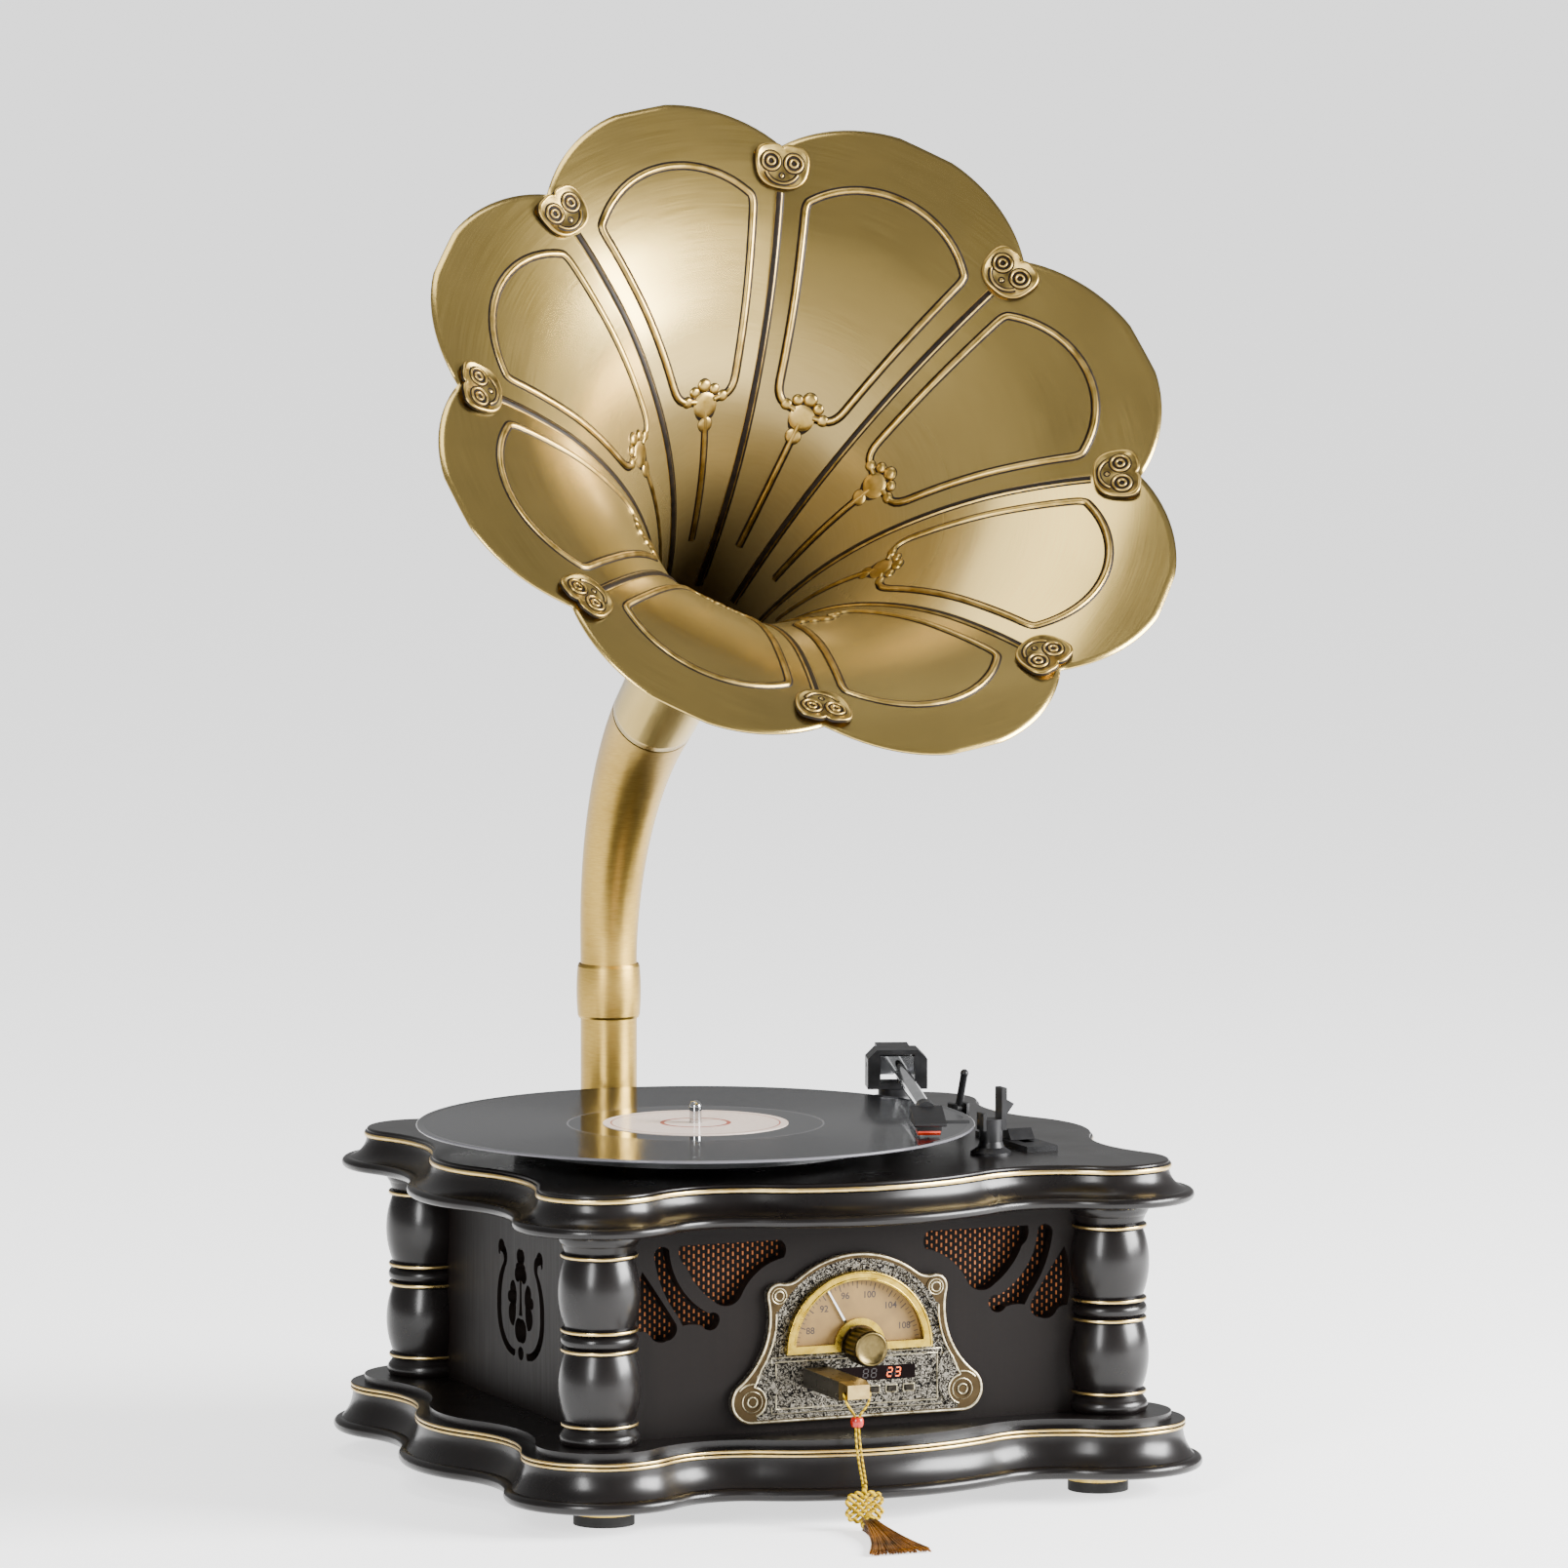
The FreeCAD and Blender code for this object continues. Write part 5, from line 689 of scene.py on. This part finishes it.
# Record: pressed black vinyl with a cream paper label, loose on the pin.
# The grooves are far too fine to draw, so rings of 1.1 mm stand for them; they stretch the gloss across.
disc_low, disc_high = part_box("record")
centre = (disc_low + disc_high) / 2
groove_mm, label_r, edge_r, run_out = 1.1, 0.05, 0.1498, (0.069, 0.0005)
played_middle, played_half = 0.1075, 0.0385
vinyl, where = finish("pressed_vinyl", anisotropic=0.75, anisotropic_rotation=0.25, coat_weight=0.15,
                       coat_roughness=0.05)
flat = add(vinyl, "VectorMath SUBTRACT", [where, (centre.x, centre.y, 0.0)])
flat = add(vinyl, "VectorMath MULTIPLY", [flat, (1.0, 1.0, 0.0)])
radius = add(vinyl, "VectorMath LENGTH", [flat], "Value")
paper = add(vinyl, "Math LESS_THAN", [radius, label_r])
turned = add(vinyl, "Math MULTIPLY", [radius, 2 * math.pi * 1000 / groove_mm])
groove = add(vinyl, "Math SINE", [turned])
played = add(vinyl, "Math COMPARE", [radius, played_middle, played_half])
cut_in = add(vinyl, "Math MULTIPLY", [groove, played])
outward = add(vinyl, "CombineXYZ", {"X": radius})
# Faint lighter bands across the radius: painted sheen of the groove bands.
bands = add(vinyl, "TexNoise", {"Vector": outward, "Scale": 1000 / 6, "Detail": 2.0})
black = add(vinyl, "MixRGB", [bands, "#08080A", "#17181C"])
speck = add(vinyl, "TexNoise", {"Vector": where, "Scale": 1000 / 2, "Detail": 4.0})
label = add(vinyl, "MixRGB", [speck, "#CDB9AE", "#E9DCD2"])
printed = 0.0
for ring_r, half in ((0.0455, 0.0004), (0.018, 0.0012)):
    ring = add(vinyl, "Math COMPARE", [radius, ring_r, half])
    printed = add(vinyl, "Math MAXIMUM", [printed, ring])
label = add(vinyl, "MixRGB", [printed, label, "#9A4B3C"])
# Painted highlights: the run-out ring and the outer edge are painted light grey for the shine they catch.
run_out_highlight = add(vinyl, "Math COMPARE", [radius, *run_out])
lip = add(vinyl, "Math GREATER_THAN", [radius, edge_r])
painted_highlight_rings = add(vinyl, "Math MAXIMUM", [run_out_highlight, lip])
black = add(vinyl, "MixRGB", [painted_highlight_rings, black, "#5C5B60"])
disc = add(vinyl, "MixRGB", [paper, black, label])
wax = add(vinyl, "MapRange", [played, 0, 1, 0.06, 0.16])
gloss = add(vinyl, "MixRGB", [paper, wax, (0.55, 0.55, 0.55, 1.0)])
cuts = add(vinyl, "Bump", {"Height": cut_in, "Strength": 0.3, "Distance": 0.00006})
ring_way = add(vinyl, "Tangent", {}, direction_type="RADIAL", axis="Z")
shade(vinyl, {"Base Color": disc, "Roughness": gloss, "Normal": cuts, "Tangent": ring_way,
              "Specular IOR Level": 0.15})
dress(vinyl, "record")

# Tonearm: moulded blocks on a chromed tube, with a cartridge under a sloping headshell.
# All the mouldings share the black ABS; the stylus guard is a bright orange-red.
dress(abs_black, "arm_base", "arm_yoke", "counterweight", "headshell", "cartridge", "arm_rest", "cue_post",
      "cue_lever", "speed_plate", "speed_slider")
dress(chrome, "arm_tube")
dress(plain("red_polystyrene", "#C21E08", "#E8441E", 5, 0.4, (0.2, 0.3), 0.005), "stylus")

# Horn tube, collar and neck: drawn brass tube, brushed round and lacquered over a brown antiquing.
# The neck is bent and swaged wider to the bell; soft upright reflections run along it.
# The grille in the throat is pressed from brass and left brown.
brush_long, brush_fine = 6, 0.7
tube_brass, where = finish("brushed_antique_brass_tube", metallic=1.0)
level_lines = (1000 / brush_long, 1000 / brush_long, 1000 / brush_fine)
drawn = add(tube_brass, "Mapping", {"Vector": where, "Scale": level_lines})
brushed = add(tube_brass, "TexNoise", {"Vector": drawn, "Scale": 1.0, "Detail": 6.0})
stained = add(tube_brass, "TexNoise", {"Vector": where, "Scale": 1000 / 45, "Detail": 3.0})
hair = add(tube_brass, "MixRGB", [brushed, "#9C7B34", "#C9A95A"])
patch = add(tube_brass, "MapRange", [stained, 0.5, 0.8, 0, 0.35])
tone = add(tube_brass, "MixRGB", [patch, hair, "#6A4E20"])
worn = add(tube_brass, "MapRange", [brushed, 0, 1, 0.26, 0.4])
scratches = add(tube_brass, "Bump", {"Height": brushed, "Strength": 0.2, "Distance": 0.00005})
shade(tube_brass, {"Base Color": tone, "Roughness": worn, "Normal": scratches})
dress(tube_brass, "lower_tube", "collar", "neck")
browned = plain("browned_brass_grille", "#5E4A2A", "#8E764A", 4, 0.4, (0.35, 0.5), 0.01, metallic=0.35)
dress(browned, "throat_grille")

# Bell: eight pressed brass petals soldered edge to edge and spun to one trumpet, with a scalloped rim.
# Brushed round the mouth and antiqued, with painted shade making it darker and browner towards the throat.
SEAM = [(-270.0, 23.0, 0.0), (-215.0, 25.0, 0.05), (-180.0, 29.0, 0.15), (-145.0, 38.0, 0.35),
        (-110.0, 52.0, 0.5), (-80.0, 70.0, 0.6), (-54.0, 92.0, 0.65), (-33.0, 116.0, 0.7),
        (-18.0, 140.0, 0.7), (-7.0, 163.0, 0.7), (2.0, 190.0, 0.7), (8.0, 224.0, 0.7)]
petals, sheet = 8, 0.0012
petal = 2 * math.pi / petals
phase, lean = math.radians(124.0), math.radians(51.0)
notch_r, tip_r, spout = 189.0, 212.4, 1.2
mouth = at(-30.0, -124.0, 574.0)
axis = Vector((0, -math.sin(lean), math.cos(lean)))
up_side = Vector((0, math.cos(lean), math.sin(lean)))
horn_frame = Matrix.Translation(mouth) @ Matrix(((1, 0, 0), up_side, axis)).transposed().to_4x4()
knots = [0.0]
for (s0, r0, _), (s1, r1, _) in zip(SEAM, SEAM[1:]):
    knots.append(knots[-1] + math.hypot(s1 - s0, r1 - r0))


def seam_at(run):
    """Place along the axis, radius and flatness of the seam at a distance run from the spout."""
    n = max(k for k in range(len(knots) - 1) if knots[k] <= run or k == 0)
    near = [max(n - 1, 0), n, n + 1, min(n + 2, len(knots) - 1)]
    t0, t1, t2, t3 = [knots[k] for k in near]
    t = (run - t1) / (t2 - t1)
    result = []
    for a, b, c, d in zip(*[SEAM[k] for k in near]):
        slope_b = (c - a) / (t2 - t0) * (t2 - t1)
        slope_c = (d - b) / (t3 - t1) * (t2 - t1)
        result.append((2 * t ** 3 - 3 * t ** 2 + 1) * b + (t ** 3 - 2 * t ** 2 + t) * slope_b
                      + (3 * t ** 2 - 2 * t ** 3) * c + (t ** 3 - t ** 2) * slope_c)
    return result


def bow(r, middle, turn):
    """Radius at an angle off the petal's middle of the arc from seam to seam through the middle."""
    edge = r * math.cos(petal / 2)
    if abs(middle - edge) < 1e-6:
        return edge / math.cos(turn)
    d = (r * r - middle * middle) / (2 * (edge - middle))
    span = middle - d
    inside = math.sqrt(max(span * span - (d * math.sin(turn)) ** 2, 0.0))
    return d * math.cos(turn) + (inside if span > 0 else -inside)


def on_bell(k, u, run):
    """Point of the outer skin in the horn's own frame: petal k, u from seam to seam as -1 to 1."""
    s, r, flat = seam_at(run)
    turn = u * petal / 2
    out = bow(r, r * (1 - flat * (1 - math.cos(petal / 2))), turn)
    angle = phase - (k + 0.5) * petal + turn
    return Vector((out * math.cos(angle), out * math.sin(angle), s)) / 1000


def inner_skin(k, u, run):
    """Point on the inside of the sheet and the way out of the sheet there."""
    spot = on_bell(k, u, run)
    along = on_bell(k, u, run + 1.0) - on_bell(k, u, run - 1.0)
    across = on_bell(k, u + 0.02, run) - on_bell(k, u - 0.02, run)
    way = across.cross(along).normalized()
    if way.dot(Vector((spot.x, spot.y, 0))) > 0:
        way = -way
    return spot + way * sheet, way


def run_at(u, r):
    """Distance from the spout at which the petal reaches a radius."""
    low, high = 1.0, knots[-1] - 1.0
    for _ in range(40):
        half = (low + high) / 2
        point = on_bell(0, u, half)
        low, high = (half, high) if math.hypot(point.x, point.y) * 1000 < r else (low, half)
    return low


columns, rows = 32, 90
places = between(-1, 1, columns)[:-1]
rim_runs = [run_at(u, bow(notch_r, tip_r, u * petal / 2)) for u in places]


def bell_ring(share, inside):
    """Points round all petals on one side of the sheet, at a share of the way from spout to rim."""
    ring = []
    for k in reversed(range(petals)):
        for u, rim_run in zip(places, rim_runs):
            run = spout + (rim_run - spout) * share
            ring.append(inner_skin(k, u, run)[0] if inside else on_bell(k, u, run))
    return ring


def in_horn(shapes):
    """Shapes moved from the horn's own frame to the shared one."""
    verts, faces, which = merge(shapes)
    return [([horn_frame @ v for v in verts], faces, which)]


def petal_brass(name, throat_shade_share):
    """Brass brushed round the mouth, with painted shade making it browner towards the throat by a share."""
    mat, where = finish(name, anisotropic=0.5, anisotropic_rotation=0.25)
    leaning = {"Vector": where, "Location": tuple(mouth), "Rotation": tuple(horn_frame.to_euler())}
    inside = add(mat, "Mapping", leaning, vector_type="TEXTURE")
    flat = add(mat, "VectorMath MULTIPLY", [inside, (1.0, 1.0, 0.0)])
    radius = add(mat, "VectorMath LENGTH", [flat], "Value")
    ringed = add(mat, "TexGradient", {"Vector": inside}, "Fac", gradient_type="RADIAL")
    short = add(mat, "Math MULTIPLY", [ringed, 0.02])
    unrolled = add(mat, "CombineXYZ", {"X": radius, "Y": short})
    brushed = add(mat, "TexNoise", {"Vector": unrolled, "Scale": 1000 / 0.8, "Detail": 6.0})
    stained = add(mat, "TexNoise", {"Vector": where, "Scale": 1000 / 70, "Detail": 3.0})
    hair = add(mat, "MixRGB", [brushed, "#B89C56", "#CAB06A"])
    # Painted shade: darker, browner and less metallic towards the throat, by the given share.
    throat = add(mat, "MapRange", [radius, 0.028, 0.15, throat_shade_share, 0.0])
    cloudy = add(mat, "MapRange", [stained, 0.35, 0.75, 0, 0.22])
    dark = add(mat, "Math MAXIMUM", [throat, cloudy])
    tone = add(mat, "MixRGB", [dark, hair, "#3E3324"])
    worn = add(mat, "MapRange", [brushed, 0, 1, 0.19, 0.28])
    metal_share = add(mat, "MapRange", [throat, 0, 1, 1.0, 0.25])
    scratches = add(mat, "Bump", {"Height": brushed, "Strength": 0.17, "Distance": 0.00005})
    spoke = add(mat, "VectorMath SUBTRACT", [where, tuple(mouth)])
    around = add(mat, "VectorMath CROSS_PRODUCT", [tuple(axis), spoke])
    turned = add(mat, "VectorTransform", {"Vector": around}, vector_type="VECTOR", convert_from="OBJECT",
                 convert_to="WORLD")
    shade(mat, {"Base Color": tone, "Metallic": metal_share, "Roughness": worn, "Normal": scratches,
                "Tangent": turned})
    return mat


shares = between(0, 1, rows)
rings = [bell_ring(share, False) for share in shares] + [bell_ring(share, True) for share in reversed(shares)]
points, faces = skin(rings, loop=True)
which = [0 if rows < n // len(rings[0]) <= 2 * rows else 1 for n in range(len(faces))]
# The inside of the bell gets far more painted throat shade than its back.
finishes = [petal_brass("brushed_antique_brass_inside_painted_shade", 0.85), petal_brass("brushed_antique_brass_back_painted_shade", 0.15)]
bell = piece("bell_petals", in_horn([(points, faces, which)]), finishes, "horn")
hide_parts("bell")

# Petal beads: outlines of the panels, stems, buds and seam ribs, pressed up from behind the sheet.
# Beside each bead the sheet is painted dark, as antiquing left there and as painted shade, and the bead is
# rubbed bright on top.
shade_and_patina = plain("painted_shade_and_patina", "#0C0805", "#20160B", 4, 0.4, (0.45, 0.6), 0.01, metallic=0.3)
shade(shade_and_patina, {"Specular IOR Level": 0.2})
bead_brass = plain("rubbed_brass_bead", "#8E7436", "#B89C5C", 8, 0.4, (0.28, 0.4), 0.004, metallic=1.0)


def lay(k, line, half, high, skirt, groove):
    """Bead with flat skirts on a petal along (u, run) pairs, with the finish of each face, bright or dark;
    the dark skirts are patina and painted shade, and a groove is a painted shadow line along the top.
    """
    spots = [inner_skin(k, u, run) for u, run in line]
    edge, low, flat = half + skirt, -0.3, 0.14
    section = [(edge, low), (edge, flat)] + half_round(half, high, lift=0.12) + [(-edge, flat), (-edge, low)]
    points, sides = moulding([p for p, _ in spots], [w for _, w in spots], metres(section))
    strips = len(section) - 1
    # Dark faces: the skirts, painted shade with patina, and with groove the middle of the rib's top, a
    # painted shadow line where the petal edges overlap.
    dark = [0, 1, strips - 2, strips - 1] + ([4, 5, 6, 7] if groove else [])
    return points, sides, [1 if n % strips in dark else 0 for n in range(len(sides))]


def bud(k, x, y, size, rise):
    """Round knob on a petal at a point seen along the axis, with a skirt round its foot painted dark as
    patina and shade.
    """
    spot, way = inner_skin(k, *on_petal(Vector((x, y))))
    side = way.orthogonal().normalized()
    other = way.cross(side)
    rings, around = [], turns(18)
    for share, high in ((1.28, -0.2), (1.0, 0.15), (0.92, 0.6), (0.68, 0.88), (0.34, 1.0)):
        rings.append([spot + (side * math.cos(a) + other * math.sin(a)) * (share * size / 1000)
                      + way * (high * rise / 1000) for a in around])
    points, sides = skin(rings, cap=True)
    return points, sides, [1 if n < len(around) else 0 for n in range(len(sides))]


def rounded(corners, cut, steps=5):
    """Line through corners with each one cut back by a length and bridged by a curve."""
    line = [corners[0]]
    for before, corner, after in zip(corners, corners[1:], corners[2:]):
        a = corner.lerp(before, min(0.45, cut / (before - corner).length))
        b = corner.lerp(after, min(0.45, cut / (after - corner).length))
        line += [a.lerp(corner, t).lerp(corner.lerp(b, t), t) for t in between(0, 1, steps)]
    return line + [corners[-1]]


def spread_out(line, gap):
    """The same line with points no further apart than a gap."""
    dense = [line[0]]
    for a, b in zip(line, line[1:]):
        count = max(1, math.ceil((b - a).length / gap))
        dense += [a.lerp(b, n / count) for n in range(1, count + 1)]
    return dense


def on_petal(p):
    """Place on a petal, as (u, run), of a point seen along the axis, x along the petal's middle."""
    u = math.atan2(p.y, p.x) / (petal / 2)
    return u, run_at(u, p.length)


def polar(r, degrees):
    """Point seen along the axis, at an angle off the petal's middle."""
    return Vector((math.cos(math.radians(degrees)), math.sin(math.radians(degrees)))) * r


corner, shoulder, crown_r = polar(76.5, 13.0), polar(160.0, 17.2), 177.0
stem_end, stem_top, seam_end, seam_top, foot_half = 36.0, 70.0, 28.8, 164.0, 5.5
crown_x = (shoulder.length_squared - crown_r ** 2) / (2 * (shoulder.x - crown_r))
swing = math.degrees(math.atan2(shoulder.y, shoulder.x - crown_x))
crown = [Vector(p) for p in ring_line(crown_x, 0.0, crown_r - crown_x, swing, -swing, 20)]
right = [Vector((corner.x - 1.0, foot_half)), corner]
left = [Vector((p.x, -p.y)) for p in reversed(right)]
panel_line = [on_petal(p) for p in spread_out(rounded(right + crown + left, 6.0), 2.5)]
stem_line = [on_petal(Vector((r, 0.0))) for r in between(stem_end, stem_top, 24)]
seam_line = [(1.0, run_at(1.0, r)) for r in between(seam_end, seam_top, 75)]
BUDS = [(-2.5, 0.0, 7.2, 0.7), (-8.8, 0.0, 4.2, 0.7), (4.2, 0.0, 3.7, 1.5), (2.4, 6.0, 2.9, 1.3),
        (2.4, -6.0, 2.9, 1.3), (-0.6, 10.8, 3.0, 1.3), (-0.6, -10.8, 3.0, 1.3)]
trim = []
for k in range(petals):
    trim += [lay(k, panel_line, 1.5, 1.1, 1.1, False), lay(k, stem_line, 1.2, 0.9, 1.0, False),
             lay(k, seam_line, 2.0, 1.1, 1.0, True)]
    trim += [bud(k, corner.x + off, y, size, rise) for off, y, size, rise in BUDS]
beads = piece("petal_beads", in_horn(trim), [bead_brass, shade_and_patina], "horn")
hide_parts("petal_trim")

# Medallions: heart-shaped castings riveted over each seam, with two ringed rosettes, a lozenge and
# a crescent. Cast brass, dark in the ground and rubbed bright on the rings.
heart_half, heart_tall, ground_high, inlay_high = 15.6, 15.0, 1.7, 1.76
rosette, rosette_r, rosette_steps, lozenge_y = (6.4, 2.9), 6.3, 28, -4.6
crescent_half, crescent_tall, crescent_y, crescent_from, crescent_to = 9.6, 9.2, 0.2, 203, 337
medal_r, medal_sink, medal_lift, tilt = 176.0, -1.0, 1.75, math.radians(20.0)
upward = Vector((0, 0, 1))


def heart(grow, high, steps=10):
    """Outline of a medallion in millimetres, at a height."""
    arcs = [((0.0, -0.8), (0.68, -0.6), (0.96, 0.04)), ((0.96, 0.04), (0.9, 0.64), (0.48, 0.86)),
            ((0.48, 0.86), (0.2, 0.88), (0.0, 0.76))]
    side = []
    for arc in arcs:
        a, b, c = [Vector(p) for p in arc]
        bend = 2 * b - (a + c) / 2
        side += [a.lerp(bend, t).lerp(bend.lerp(c, t), t) for t in between(0, 1, steps)[:-1]]
    whole = side + [Vector(arcs[-1][-1])] + [Vector((-p.x, p.y)) for p in reversed(side[1:])]
    return [Vector((p.x * heart_half * grow, p.y * heart_tall * grow, high)) for p in whole]


def inlay(x, y, r):
    """Dark disc let into the ground."""
    disc = [Vector((*p, inlay_high)) for p in ring_line(x, y, r, steps=rosette_steps)]
    return disc, [tuple(range(rosette_steps))], [2]


def medallion():
    """One medallion lying in its own plane, in millimetres, with the finish of each face."""
    edge = ((1.0, 0.0), (1.0, 1.7), (0.96, 2.3), (0.89, 2.3), (0.86, ground_high))
    levels = [heart(grow, high) for grow, high in edge]
    count = len(levels[0])
    points, sides = skin(levels, cap=True)
    # The outer wall of the casting takes the dark finish of patina and painted shade.
    shapes = [(points, sides, [2] * count + [0] * count * 2 + [1] * (count + 1)), inlay(0.0, lozenge_y, 1.9)]
    for side in (-1, 1):
        x, y = side * rosette[0], rosette[1]
        shapes.append(inlay(x, y, rosette_r))
        for r, half in ((4.9, 0.7), (2.1, 0.65)):
            line = [Vector((*p, ground_high)) for p in ring_line(x, y, r, steps=rosette_steps)]
            shapes.append(moulding(line, [upward] * len(line), half_round(half, 0.9, 6), True))
    crescent = [Vector((crescent_half * math.cos(a), crescent_y + crescent_tall * math.sin(a), ground_high))
                for a in between(math.radians(crescent_from), math.radians(crescent_to), 16)]
    section = [(1.4, 0.06), (0.6, 0.08)] + half_round(0.6, 0.7, 6, 0.1) + [(-0.6, 0.08), (-1.4, 0.06)]
    points, sides = moulding(crescent, [upward] * len(crescent), section)
    strips = len(section) - 1
    # The crescent's skirts take the dark finish of patina and painted shade, as beside the petal beads.
    shapes.append((points, sides, [2 if n % strips in (0, strips - 1) else 0 for n in range(len(sides))]))
    foot = [(0, 1.5), (1.2, 0), (0, -1.5), (-1.2, 0)]
    lozenge = [Vector((x, lozenge_y + y, ground_high)) for x, y in foot] + [Vector((0, lozenge_y, 2.7))]
    shapes.append((lozenge, [(n, (n + 1) % 4, 4) for n in range(4)]))
    return merge(shapes)


ground = plain("antiqued_brass_ground", "#6E5A2E", "#A08A50", 5, 0.3, (0.3, 0.42), 0.01, metallic=1.0)
flat_points, flat_faces, flat_which = medallion()
castings = []
for k in range(petals):
    angle = phase - k * petal
    radial = Vector((math.cos(angle), math.sin(angle), 0))
    sideways = upward.cross(radial)
    normal = upward * math.cos(tilt) - radial * math.sin(tilt)
    outward = radial * math.cos(tilt) + upward * math.sin(tilt)
    spot = radial * medal_r + upward * medal_sink + normal * medal_lift
    points = [(spot - sideways * p.x + outward * p.y + normal * p.z) / 1000 for p in flat_points]
    castings.append((points, flat_faces, flat_which))
medals = piece("cast_medallions", in_horn(castings), [bead_brass, ground, shade_and_patina], "horn")
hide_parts("medallions")

# Studio: a pale floor that glows a little, a broad softbox from the right, a strip from the left, a lamp
# above and a white sky. The camera stands far off with a long lens, a little to the left of the front
# and above the deck.
floor_half = 60
floor_mat, where = finish("pale_studio_floor", base_color="#F4F4F4", emission_color="#FFFFFF",
                           emission_strength=1.4)
soft = add(floor_mat, "TexNoise", {"Vector": where, "Scale": 2.0})
shade(floor_mat, {"Roughness": add(floor_mat, "MapRange", [soft, 0, 1, 0.85, 0.95])})
floor_mesh = bpy.data.meshes.new("studio_floor")
floor_corners = [(x * floor_half, y * floor_half, 0) for x, y in ((-1, -1), (1, -1), (1, 1), (-1, 1))]
floor_mesh.from_pydata(floor_corners, [], [(0, 1, 2, 3)])
floor_mesh.materials.append(floor_mat)
floor = put("studio_floor", floor_mesh)
sky = bpy.data.worlds.new("studio_sky")
sky.use_nodes = True
feed(sky, sky.node_tree.nodes["Background"], {"Color": (1.0, 1.0, 1.0, 1.0), "Strength": 0.4})
bpy.context.scene.world = sky
for name, place, aim, size, power in (
        ("right_softbox", (1.95, -1.3, 0.95), (-0.05, 0.0, 0.62), (1.5, 1.0), 300.0),
        ("left_strip", (-1.9, -1.8, 1.1), (0.0, 0.0, 0.2), (0.5, 1.5), 75.0),
        ("top_lamp", (-0.2, 0.1, 2.8), (0.0, 0.0, 0.2), (1.4, 1.4), 30.0)):
    lamp = bpy.data.lights.new(name, "AREA")
    lamp.shape = "RECTANGLE"
    lamp.size, lamp.size_y = size
    lamp.energy = power
    lamp_object = put(name, lamp)
    lamp_object.location = place
    lamp_object.rotation_euler = (Vector(aim) - Vector(place)).to_track_quat("-Z", "Y").to_euler()
azimuth, dip, distance, eye_height = math.radians(-22.44), math.radians(6.0), 5.99662, 1.0053
photo_px, focal_px, middle_px, sensor_mm = 1608, 11446.89, 783.24, 36.0
lens = bpy.data.cameras.new("photo_camera")
lens.sensor_width = sensor_mm
lens.lens = focal_px / photo_px * sensor_mm
lens.shift_x = (photo_px / 2 - middle_px) / photo_px
lens.clip_end = 200.0
camera = put("photo_camera", lens)
camera.location = (home.x + math.sin(azimuth) * distance, home.y - math.cos(azimuth) * distance, eye_height)
camera.rotation_euler = (math.pi / 2 - dip, 0.0, azimuth)
bpy.context.scene.camera = camera
bpy.context.view_layer.update()
